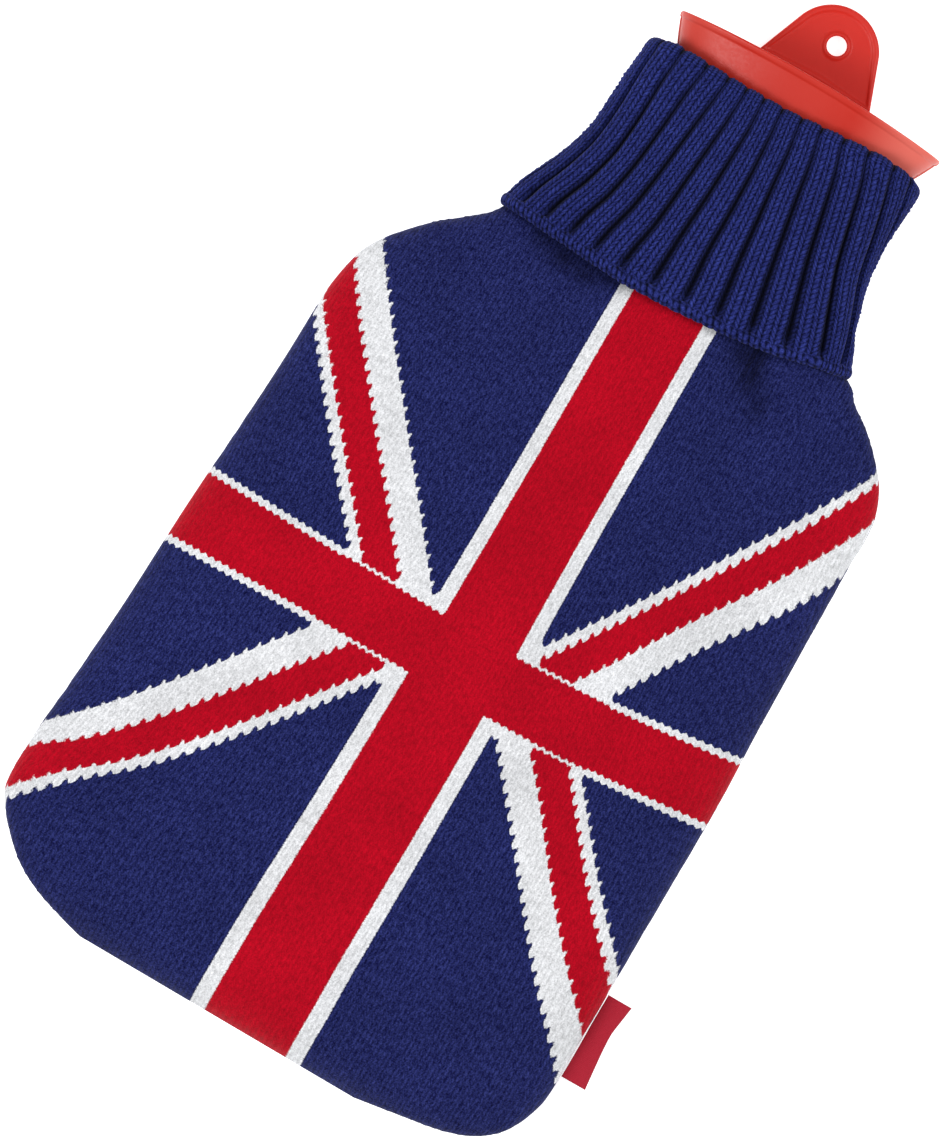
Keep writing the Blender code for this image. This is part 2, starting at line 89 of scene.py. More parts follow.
def eased(at: Array, knots: Array, values: Array) -> Array:
    """Read a smooth curve through a table without overshoot.

    Each span is a cubic whose slope at a knot is the harmonic mean of the
    straight slopes on its two sides, or nought where those differ in sign.

    Args:
        at: where to read the curve.
        knots: rising places of the table's rows.
        values: what the table holds at each of them.

    Returns:
        The curve's values, in the shape of at.
    """
    at = np.asarray(at, float)
    step = np.diff(knots)
    rise = np.diff(values) / step
    product = rise[:-1] * rise[1:]
    total = rise[:-1] + rise[1:]
    slope = np.zeros(len(knots))
    safe = np.where(product > 0.0, total, 1.0)
    slope[1:-1] = np.where(product > 0.0, 2.0 * product / safe, 0.0)
    slope[0], slope[-1] = rise[0], rise[-1]
    span = np.clip(np.searchsorted(knots, at, side="right") - 1, 0, len(step) - 1)
    t = np.clip((at - knots[span]) / step[span], 0.0, 1.0)
    low, high = values[span], values[span + 1]
    return (
        low * (1.0 + 2.0 * t) * (1.0 - t) ** 2
        + high * t**2 * (3.0 - 2.0 * t)
        + step[span] * (slope[span] * t * (1.0 - t) ** 2 - slope[span + 1] * t**2 * (1.0 - t))
    )


def columns(rows: tuple[tuple[float, ...], ...]) -> Array:
    """A table's columns as arrays, the first of them rising."""
    table = np.array(rows, float)
    return table[np.argsort(table[:, 0])].T


def oval(left: Array, right: Array, depth: Array, shares: Array, roundness: Array) -> tuple[Array, Array]:
    """Points of superellipses at given shares of their length.

    |x / half width| to the power of the roundness, plus |z / depth| to the
    same power, is 1. The shares run from the left end over the front.

    Args:
        left: half-widths to the left of the middle, one for each ring.
        right: half-widths to the right.
        depth: half-depths.
        shares: for each ring, the shares of its length, or one row for all.
        roundness: the exponent of each ring.

    Returns:
        x and z, each a row for each ring.
    """
    turn = np.linspace(0.0, 2.0 * math.pi, RING_STEPS + 1)[None, :]
    power = 2.0 / np.broadcast_to(roundness, np.shape(left))[:, None]
    across = -np.sign(np.cos(turn)) * np.abs(np.cos(turn)) ** power
    x = np.where(across < 0.0, across * left[:, None], across * right[:, None])
    z = np.sign(np.sin(turn)) * np.abs(np.sin(turn)) ** power * depth[:, None]
    run = np.cumsum(np.hypot(np.diff(x, axis=1), np.diff(z, axis=1)), axis=1)
    run = np.concatenate([np.zeros((len(run), 1)), run], axis=1)
    shares = np.broadcast_to(shares, (len(left), np.shape(shares)[-1]))
    out_x = np.empty(shares.shape)
    out_z = np.empty(shares.shape)
    for ring, share in enumerate(shares):
        at = (share % 1.0) * run[ring, -1]
        out_x[ring] = np.interp(at, run[ring], x[ring])
        out_z[ring] = np.interp(at, run[ring], z[ring])
    return out_x, out_z


def normals_of(points: Array) -> Array:
    """Unit normals of a grid of points: the cross product of its two tangents.

    Args:
        points: the grid, rows by columns by 3.

    Returns:
        A unit vector for each point.
    """
    normal = np.cross(np.gradient(points, axis=1), np.gradient(points, axis=0))
    size = np.linalg.norm(normal, axis=2, keepdims=True)
    return normal / np.maximum(size, TINY)


def stitch_height(wale_share: Array, course_share: Array) -> Array:
    """Relief of one stocking stitch, from 0 between wales to 1 on its two legs.

    Two humps across a wale, the squared sine of twice its half turn, with a
    hollow between them that is shallower than those beside them, and all of
    it lower where courses meet.

    Args:
        wale_share: place across the wale, 0 to 1.
        course_share: place along the course, 0 to 1.

    Returns:
        The height of each point.
    """
    legs = np.sin(2.0 * math.pi * wale_share) ** 2
    valley = VALLEY * np.sin(math.pi * wale_share) ** 2 * np.cos(2.0 * math.pi * wale_share) ** 2
    return (legs + valley) * (1.0 - MEETING_DIP * np.cos(math.pi * course_share) ** 2)


def leg_slant(wale_share: Array) -> Array:
    """How far up the cloth a stitch reaches across its wale: high at its sides."""
    return SLANT * (2.0 * np.abs(wale_share - 0.5) - 0.5)


def bells(x: Array, station: Array, spots: tuple[tuple[float, ...], ...]) -> Iterator[Array]:
    """Bell curves round spots: e to minus the squared distance, counted in reaches.

    Args:
        x: place across, of each point.
        station: its place along.
        spots: x, station, reach across, reach along and height of each bell.

    Yields:
        The height of one bell at every point.
    """
    for middle_x, middle_station, reach_x, reach_station, most in spots:
        away = ((x - middle_x) / reach_x) ** 2 + ((station - middle_station) / reach_station) ** 2
        yield most * np.exp(-away)


# ---------------------------------------------------------------- meshes


def place(x: Array, station: Array, z: Array) -> Array:
    """World points, in metres, of millimetres and stations."""
    y = np.asarray(station) + FOOT_Y
    return np.stack(np.broadcast_arrays(x, y, z), axis=-1) * MM


def grid_faces(rows: int, cols: int, closed_cols: bool = False, closed_rows: bool = False) -> Array:
    """Corner numbers of the quads of a grid, point after point along its rows.

    Args:
        rows: how many rows of points.
        cols: how many points in a row.
        closed_cols: whether a row's last point is joined to its first.
        closed_rows: whether the last row is joined to the first.

    Returns:
        One row of four numbers for each quad.
    """
    row = np.arange(rows if closed_rows else rows - 1)[:, None]
    col = np.arange(cols if closed_cols else cols - 1)[None, :]
    row, col = np.broadcast_arrays(row, col)
    above, beside = (row + 1) % rows, (col + 1) % cols
    corners = (row * cols + col, row * cols + beside, above * cols + beside, above * cols + col)
    return np.stack(corners, axis=-1).reshape(-1, 4)


def build_mesh(
    name: str, points: Array, faces: Array, uv: Array | None = None, marks: dict[str, Array] | None = None
) -> bpy.types.Object:
    """Put points and quads into a smooth-shaded mesh object at the origin.

    Args:
        name: name of the object and its mesh.
        points: places, in metres.
        faces: rows of four corner numbers.
        uv: a place in the UV map for each point, or None.
        marks: attributes by name, with one number or one colour for each point.

    Returns:
        The new object, in the scene.
    """
    points = np.asarray(points, np.float32).reshape(-1, 3)
    used, faces = np.unique(faces, return_inverse=True)
    faces = faces.reshape(-1, 4).astype(np.int32)
    mesh = bpy.data.meshes.new(name)
    mesh.vertices.add(len(used))
    mesh.vertices.foreach_set("co", points[used].ravel())
    mesh.loops.add(faces.size)
    mesh.loops.foreach_set("vertex_index", faces.ravel())
    mesh.polygons.add(len(faces))
    mesh.polygons.foreach_set("loop_start", np.arange(0, faces.size, 4, dtype=np.int32))
    if uv is not None:
        layer = mesh.uv_layers.new(name="cloth")
        uv = np.asarray(uv, np.float32).reshape(-1, 2)[used]
        layer.data.foreach_set("uv", uv[faces.ravel()].ravel())
    for mark, values in (marks or {}).items():
        colour = values.size == 4 * len(points)
        attribute = mesh.attributes.new(mark, "FLOAT_COLOR" if colour else "FLOAT", "POINT")
        values = values.reshape(len(points), -1)[used].astype(np.float32)
        attribute.data.foreach_set("color" if colour else "value", values.ravel())
    mesh.update(calc_edges=True)
    mesh.validate()
    mesh.shade_smooth()
    obj = bpy.data.objects.new(name, mesh)
    bpy.context.scene.collection.objects.link(obj)
    return obj


def sizeable(points: Array, faces: Array, least: float) -> Array:
    """The faces that are large enough to keep.

    A quad's area is half the cross product of its diagonals.

    Args:
        points: the grid's places, in metres.
        faces: rows of four corner numbers.
        least: area in square millimetres that a face has to be over.

    Returns:
        The rows of the faces that are kept.
    """
    a, b, c, d = (points.reshape(-1, 3)[faces[:, i]] / MM for i in range(4))
    area = np.linalg.norm(np.cross(c - a, d - b), axis=1) / 2.0
    return faces[area > least]


def end_cap(first: int, count: int, outward: bool) -> Array:
    """Quads that close a ring of points, by pairs across it.

    Args:
        first: number of the ring's first point.
        count: how many points are in the ring.
        outward: whether the quads face the way that the rings go on.

    Returns:
        One row of four numbers for each quad.
    """
    half = np.arange(count // 2 - 1)
    near, far = first + half, first + count - 1 - half
    quads = np.stack([near, near + 1, far - 1, far], axis=1)
    return quads if outward else quads[:, ::-1]


# ---------------------------------------------------------------- finishes


class NodeTree:
    """A material's node tree, with one way of adding to it."""

    def __init__(self, name: str) -> None:
        """Start a material from a bare Principled shader.

        Args:
            name: the material's name.
        """
        self.material = bpy.data.materials.new(name)
        self.material.use_nodes = True
        self.tree = self.material.node_tree
        self.shader = self.tree.nodes["Principled BSDF"]

    def put(self, socket: bpy.types.NodeSocket, value: object) -> None:
        """Link an input to a socket, or set it to a constant.

        Args:
            socket: the node's input.
            value: an output socket, a number or a colour.
        """
        if isinstance(value, bpy.types.NodeSocket):
            self.tree.links.new(value, socket)
        else:
            socket.default_value = value

    def add(
        self, kind: str, inputs: tuple | dict = (), out: int | str = 0, **settings: object
    ) -> bpy.types.NodeSocket:
        """Add a node with its settings, its values and its links.

        Args:
            kind: the node's type, without the word that they all start with.
            inputs: sockets or values, in order, or by the input's name or number.
            out: name or number of the output that is wanted.
            **settings: the node's own properties.

        Returns:
            The node's output.
        """
        node = self.tree.nodes.new(f"ShaderNode{kind}")
        for key, value in settings.items():
            setattr(node, key, value)
        for key, value in inputs.items() if isinstance(inputs, dict) else enumerate(inputs):
            self.put(node.inputs[key], value)
        return node.outputs[out]

    def finish(
        self, colour: object, roughness: object, height: object, depth: float, **constants: object
    ) -> bpy.types.Material:
        """Link the shader's colour, roughness and bump, and set what is constant.

        Args:
            colour: socket or colour.
            roughness: socket or number.
            height: socket with the bump's height, from 0 to 1.
            depth: what a height of 1 stands for, in metres.
            **constants: other inputs, with _ for a blank in their names.

        Returns:
            The finished material.
        """
        bump = self.add("Bump", {"Height": height, "Distance": depth, "Strength": 1.0})
        for key, value in (("Base Color", colour), ("Roughness", roughness), ("Normal", bump)):
            self.put(self.shader.inputs[key], value)
        for key, value in constants.items():
            socket = key.replace("_", " ").title().replace("Ior", "IOR")
            self.shader.inputs[socket].default_value = value
        return self.material


@dataclass(frozen=True)
class AcrylicKnit:
    """Acrylic yarn knitted in stocking stitch: soft, matt and a little hairy.

    The eye gets two slanted legs in each stitch, dark gaps between them in
    painted shade, a mottle of lighter and darker yarn that is partly painted
    sheen, and fibres that stand off the yarn and blur the line where two
    colours meet.
    """

    name: str
    charted: bool = False  # whether the mesh says which yarn each stitch has
    navy: str = "#0d1145"  # deep in the yarn
    navy_mottle_and_sheen: str = "#2f3672"  # partly random mottle, partly painted sheen where loose fibres catch the light
    red: str = "#af071e"
    white: str = "#dedfe2"
    gap_painted_shade: float = 0.46  # painted shade: how much light is lost between legs
    end_dip_and_shade: float = 0.4  # how far a stitch's legs dip, and darken in painted shade, at their ends
    bright_gap_painted_shade: float = 0.12  # the same painted shade in red and white yarn, which lights its own gaps
    lean: float = 0.34  # how far a leg leans outwards, in halves of a wale
    leg_half: float = 0.46  # half-width of a leg, in halves of a wale
    leg_round: float = 2.2  # power by which a leg falls off to its sides
    end_round: float = 3.0  # and to its ends
    streak_cells: tuple[float, float] = (2.1, 0.8)  # streaks of yarn in a wale and in a course
    streak_detail: float = 1.5
    fibre_detail: float = 2.0
    noise_span: tuple[float, float] = (0.3, 0.7)  # the part of a noise that is stretched out
    mottle: float = 0.48  # how far fibres move the navy from deep to its lighter mottle and painted sheen
    streaks: float = 0.24  # and how far the streaks do
    streak_light: float = 0.7  # how much the streaks count beside the fibres in the light
    unevenness: float = 0.12
    bright_unevenness: float = 0.2
    worn: tuple[float, float] = (0.91, 1.09)  # the light on worn and on fresh yarn
    fibre_mm: float = 0.52
    worn_mm: float = 26.0
    relief_mm: float = 0.22
    leg_relief: float = 0.65  # share of that relief that the legs have
    fibre_relief: float = 0.35
    fringe: float = 0.6  # how far fibres carry one colour over another
    blend: float = 0.2  # how softly red gives way to navy
    white_least: float = 0.66  # share of white that shows among heavier yarns
    white_blend: float = 0.12
    # how far the mesh's painted shade darkens the yarn
    painted_shade_strength: float = 0.92
    roughness: float = 0.95
    sheen: float = 0.04
    sheen_roughness: float = 0.5
    specular: float = 0.05

    def leg(self, nodes: NodeTree, cells: bpy.types.NodeSocket) -> bpy.types.NodeSocket:
        """Draw a stitch's two legs on the wales and courses.

        A leg leans outwards as it goes up the stitch. It is round across, and
        a little lower at both ends.

        Args:
            nodes: the material's tree.
            cells: the place, in wales and courses.

        Returns:
            1 along the middle of each leg, falling to 0 between legs.
        """
        wale = nodes.add("SeparateXYZ", (cells,), out="X")
        course = nodes.add("SeparateXYZ", (cells,), out="Y")
        zigzag = nodes.add("Math", (wale, 0.5), operation="PINGPONG")
        side = nodes.add("Math", (zigzag, -2.0, 1.0), operation="MULTIPLY_ADD")
        slant = nodes.add("Math", (side, SLANT, -0.5 * SLANT), operation="MULTIPLY_ADD")
        level = nodes.add("Math", (course, slant), operation="SUBTRACT")
        up = nodes.add("Math", (level,), operation="FRACT")
        axis = nodes.add("Math", (up, self.lean, 0.5 - self.lean / 2.0), operation="MULTIPLY_ADD")
        off = nodes.add("Math", (side, axis), operation="SUBTRACT")
        off = nodes.add("Math", (off,), operation="ABSOLUTE")
        across = nodes.add("Math", (off, self.leg_half), operation="DIVIDE")
        fall = nodes.add("Math", (across, self.leg_round), operation="POWER")
        rounded = nodes.add("Math", (1.0, fall), operation="SUBTRACT", use_clamp=True)
        from_middle = nodes.add("Math", (up, 2.0, -1.0), operation="MULTIPLY_ADD")
        from_middle = nodes.add("Math", (from_middle,), operation="ABSOLUTE")
        ends = nodes.add("Math", (from_middle, self.end_round), operation="POWER")
        along = nodes.add("Math", (ends, -self.end_dip_and_shade, 1.0), operation="MULTIPLY_ADD")
        return nodes.add("Math", (rounded, along), operation="MULTIPLY", use_clamp=True)

    def dyed(self, nodes: NodeTree, fuzz: bpy.types.NodeSocket, navy: bpy.types.NodeSocket) -> tuple:
        """Choose among the three yarns by the mesh's shares of each.

        Args:
            nodes: the material's tree.
            fuzz: noise around a half that frays the lines between yarns.
            navy: the navy yarn's colour.

        Returns:
            The yarn's colour and how much of it is red or white.
        """
        share = nodes.add("Attribute", out="Color", attribute_name="yarn")
        of_navy, of_red, of_white = (nodes.add("SeparateColor", (share,), out=i) for i in range(3))
        centred = nodes.add("Math", (fuzz, 0.5), operation="SUBTRACT")
        more_red = nodes.add("Math", (of_red, of_navy), operation="SUBTRACT")
        red_edge = nodes.add("Math", (centred, self.fringe, more_red), operation="MULTIPLY_ADD")
        white_edge = nodes.add("Math", (centred, self.fringe, of_white), operation="MULTIPLY_ADD")
        is_red = nodes.add("MapRange", (red_edge, -self.blend, self.blend))
        start, stop = self.white_least - self.white_blend, self.white_least + self.white_blend
        is_white = nodes.add("MapRange", (white_edge, start, stop))
        colour = navy
        for share, yarn in ((is_red, self.red), (is_white, self.white)):
            colour = {SHARE: share, FIRST: colour, SECOND: linear(yarn)}
            colour = nodes.add("Mix", colour, out=MIXED, data_type="RGBA")
        return colour, nodes.add("Math", (is_red, is_white), operation="MAXIMUM")

    def material(self) -> bpy.types.Material:
        """Build the knit's material on its UV map of wales and courses.

        Returns:
            The material.
        """
        nodes = NodeTree(self.name)
        on_cloth = nodes.add("TexCoord", out="UV")
        spot = nodes.add("TexCoord", out="Object")
        cells = nodes.add("VectorMath", {0: on_cloth, "Scale": UV_CELLS}, operation="SCALE")
        leg = self.leg(nodes, cells)
        grain = nodes.add("VectorMath", (cells, (*self.streak_cells, 1.0)), operation="MULTIPLY")
        streaks = nodes.add("TexNoise", {"Vector": grain, "Scale": 1.0, "Detail": self.streak_detail})
        fibre, wear = (
            nodes.add("TexNoise", {"Vector": spot, "Scale": 1.0 / (size * MM), "Detail": self.fibre_detail})
            for size in (self.fibre_mm, self.worn_mm)
        )
        streaky, hairy, worn = (
            nodes.add("MapRange", (noise, *self.noise_span, *span))
            for noise, span in ((streaks, (-1.0, 1.0)), (fibre, (-1.0, 1.0)), (wear, self.worn))
        )
        # the navy turns lighter by noise: partly random mottle of the yarn, partly painted sheen where fibres
        # catch the light
        share = nodes.add("Math", (hairy, self.mottle, 0.5), operation="MULTIPLY_ADD")
        share = nodes.add("Math", (streaky, self.streaks, share), operation="MULTIPLY_ADD", use_clamp=True)
        navy = {SHARE: share, FIRST: linear(self.navy), SECOND: linear(self.navy_mottle_and_sheen)}
        colour = nodes.add("Mix", navy, out=MIXED, data_type="RGBA")
        dark, uneven = self.gap_painted_shade, self.unevenness
        if self.charted:
            colour, bright = self.dyed(nodes, fibre, colour)
            dark = nodes.add("MapRange", (bright, 0.0, 1.0, self.gap_painted_shade, self.bright_gap_painted_shade))
            uneven = nodes.add("MapRange", (bright, 0.0, 1.0, self.unevenness, self.bright_unevenness))
        light = nodes.add("Math", (streaky, self.streak_light, hairy), operation="MULTIPLY_ADD")
        light = nodes.add("Math", (light, uneven, 1.0), operation="MULTIPLY_ADD")
        light = nodes.add("Math", (light, worn), operation="MULTIPLY")
        # painted shade between the legs of each stitch and at their ends
        gap = nodes.add("Math", (leg, -1.0, 1.0), operation="MULTIPLY_ADD")
        lost = nodes.add("Math", (gap, dark), operation="MULTIPLY")
        lit = nodes.add("Math", (1.0, lost), operation="SUBTRACT")
        light = nodes.add("Math", (light, lit), operation="MULTIPLY")
        # painted shade from the mesh: points in folds, in the rib's grooves and under the polo neck's hem are
        # darkened
        painted_shade = nodes.add("Attribute", out="Fac", attribute_name="painted_shade")
        open_to_light = nodes.add("Math", (painted_shade, -self.painted_shade_strength, 1.0), operation="MULTIPLY_ADD")
        light = nodes.add("Math", (light, open_to_light), operation="MULTIPLY")
        colour = nodes.add("HueSaturation", {"Color": colour, "Value": light})
        height = nodes.add("Math", (leg, self.leg_relief), operation="MULTIPLY")
        height = nodes.add("Math", (fibre, self.fibre_relief, height), operation="MULTIPLY_ADD")
        return nodes.finish(
            colour, self.roughness, height, self.relief_mm * MM,
            sheen_weight=self.sheen, sheen_roughness=self.sheen_roughness, specular_ior_level=self.specular,
        )


@dataclass(frozen=True)
class MouldedRubber:
    """Natural rubber moulded in a polished steel mould: smooth, with a soft gloss."""

    name: str
    colour: str
    dusty: str
    roughness: float
    roughness_spread: tuple[float, float] = (-0.05, 0.07)
    specular: float = 0.22
    cloud_mm: float = 17.0
    cloud_detail: float = 3.0
    cloud_span: tuple[float, float] = (0.35, 0.7)  # the part of the clouds' noise that is stretched out
    cloud_most: float = 0.55  # share of the dusty colour where a cloud is thickest
    skin_mm: float = 1.1
    skin_detail: float = 2.0
    skin_span: tuple[float, float] = (0.3, 0.7)
    skin_depth_mm: float = 0.03
    pale: str = "#ee8072"  # of the painted highlights, which pale the rubber towards the ends
    painted_highlights: tuple[tuple[float, float, float], ...] = ()  # painted highlights: x where each starts and ends, and its share there

    def material(self) -> bpy.types.Material:
        """Build the rubber: an even colour with faint clouds, painted pale highlights, and a fine mould skin.

        Returns:
            The material.
        """
        nodes = NodeTree(self.name)
        spot = nodes.add("TexCoord", out="Object")
        cloud, skin = (
            nodes.add("TexNoise", {"Vector": spot, "Scale": 1.0 / (size * MM), "Detail": detail})
            for size, detail in ((self.cloud_mm, self.cloud_detail), (self.skin_mm, self.skin_detail))
        )
        share = nodes.add("MapRange", (cloud, *self.cloud_span, 0.0, self.cloud_most))
        colour = {SHARE: share, FIRST: linear(self.colour), SECOND: linear(self.dusty)}
        colour = nodes.add("Mix", colour, out=MIXED, data_type="RGBA")
        # painted highlights: the rubber turns pale towards the given x
        for start, stop, most in self.painted_highlights:
            fade = nodes.add("SeparateXYZ", (spot,), out="X")
            span = (start * MM, stop * MM, 0.0, most)
            fade = nodes.add("MapRange", (fade, *span), interpolation_type="SMOOTHSTEP")
            colour = {SHARE: fade, FIRST: colour, SECOND: linear(self.pale)}
            colour = nodes.add("Mix", colour, out=MIXED, data_type="RGBA")
        least, most = (self.roughness + spread for spread in self.roughness_spread)
        rough = nodes.add("MapRange", (skin, *self.skin_span, least, most))
        return nodes.finish(colour, rough, skin, self.skin_depth_mm * MM, specular_ior_level=self.specular)


@dataclass(frozen=True)
class WovenTape:
    """A narrow polyester tape woven in satin: fine ribs across it and a low sheen."""

    name: str
    colour: str
    # colour of the painted shade where the weave lies low
    shade: str
    weft_mm: float = 0.55  # the real picks are half as far apart, too fine to show
    warp_mm: float = 0.39
    level: float = 0.5  # height of the tape between its threads
    crossing: float = 0.3  # how far a crossing of two threads stands out
    ridge: float = 0.2  # how far each rib of weft does
    relief_mm: float = 0.12
    roughness: float = 0.6
    sheen: float = 0.03
    specular: float = 0.15

    def material(self) -> bpy.types.Material:
        """Build the tape: fine lines of warp and weft, drawn coarse enough to show.

        Returns:
            The material.
        """
        nodes = NodeTree(self.name)
        spot = nodes.add("TexCoord", out="Object")
        waves = []
        for axis, pitch in (("Y", self.weft_mm), ("X", self.warp_mm)):
            along = nodes.add("SeparateXYZ", (spot,), out=axis)
            turn = nodes.add("Math", (along, 2.0 * math.pi / (pitch * MM)), operation="MULTIPLY")
            waves.append(nodes.add("Math", (turn,), operation="SINE"))
        crossed = nodes.add("Math", waves, operation="MULTIPLY")
        height = nodes.add("Math", (crossed, self.crossing, self.level), operation="MULTIPLY_ADD")
        height = nodes.add("Math", (waves[0], self.ridge, height), operation="MULTIPLY_ADD", use_clamp=True)
        # painted shade: the tape is darker where its weave lies low
        colour = {SHARE: height, FIRST: linear(self.shade), SECOND: linear(self.colour)}
        colour = nodes.add("Mix", colour, out=MIXED, data_type="RGBA")
        return nodes.finish(
            colour, self.roughness, height, self.relief_mm * MM,
            sheen_weight=self.sheen, specular_ior_level=self.specular,
        )


FLAG_KNIT = AcrylicKnit("acrylic_flag_knit", charted=True)
NAVY_KNIT = AcrylicKnit("acrylic_navy_knit")
# deeper painted shade between the legs and at their ends than on the panels
RIB_KNIT = AcrylicKnit(
    "acrylic_rib_knit", navy="#12144d", navy_mottle_and_sheen="#36418f", gap_painted_shade=0.85, end_dip_and_shade=0.7, lean=0.26,
    mottle=0.3, streaks=0.14,
)
# painted highlights pale the funnel towards both its ends, more on the right
FUNNEL_RUBBER = MouldedRubber(
    "moulded_rubber_funnel", colour="#c12c20", dusty="#c53327", roughness=0.36,
    painted_highlights=((20.0, 46.0, 0.64), (-18.0, -44.0, 0.18)),
)
# painted light: the tab is the funnel's rubber, made lighter to make up for the shade that the funnel casts
# on it
TAB_RUBBER_PAINTED_LIGHTER = MouldedRubber("moulded_rubber_tab_painted_lighter", colour="#ca281e", dusty="#cc2e23", roughness=0.4)
BODY_RUBBER = MouldedRubber("moulded_rubber_body", colour="#b43027", dusty="#b8382e", roughness=0.45)
STOPPER_PLASTIC = MouldedRubber("moulded_plastic_stopper", colour="#a8342b", dusty="#b03c33", roughness=0.38)
RED_TAPE = WovenTape("woven_red_tape", colour="#bb2238", shade="#9a1426")


# ---------------------------------------------------------------- knitted panels


class Yarn(IntEnum):
    """The three yarns of the front, in the order of their shares in the mesh's colours."""

    NAVY = 0
    RED = 1
    WHITE = 2


class Side(Enum):
    """Which panel of the cover."""

    FRONT = "front"
    BACK = "back"


@dataclass(frozen=True)
class Flag:
    """The flag that is knitted into the front, in whole wales and courses.

    A red upright stripe and a red level band with white edges, over red
    diagonals whose white edges are wide on one side and thin on the other,
    changing sides from quarter to quarter. A diagonal steps one wale for
    every two courses.
    """

    stripe_half: int = 5
    stripe_edge: int = 7
    band_half: int = 7
    band_edge: int = 8
    step_courses: int = 2
    # Wales out from a diagonal's step: the inner edge, the red's two sides, and the outer edge.
    wide_first: tuple[int, ...] = (7, 12, 17, 19)
    thin_first: tuple[int, ...] = (6, 8, 13, 18)

    def yarn(self, wale: Array, course: Array) -> Array:
        """The yarn of each stitch.

        Args:
            wale: whole number of each stitch's wale.
            course: whole number of its course.

        Returns:
            The yarns' numbers.
        """
        out, up = np.abs(wale + 0.5), np.abs(course + 0.5)
        along = out - np.floor((up - self.band_edge) / self.step_courses)
        wide_inside = (wale < 0) == (course >= 0)
        yarn = np.full(np.shape(out), Yarn.NAVY, np.int32)
        for inside, wales in ((True, self.wide_first), (False, self.thin_first)):
            quarter = wide_inside == inside
            for colour, start, stop in ((Yarn.WHITE, wales[0], wales[3]), (Yarn.RED, wales[1], wales[2])):
                yarn[quarter & (along > start) & (along < stop)] = colour
        yarn[out < self.stripe_edge] = Yarn.WHITE
        yarn[up < self.band_edge] = Yarn.WHITE
        yarn[(up < self.band_half) | (out < self.stripe_half)] = Yarn.RED
        return yarn


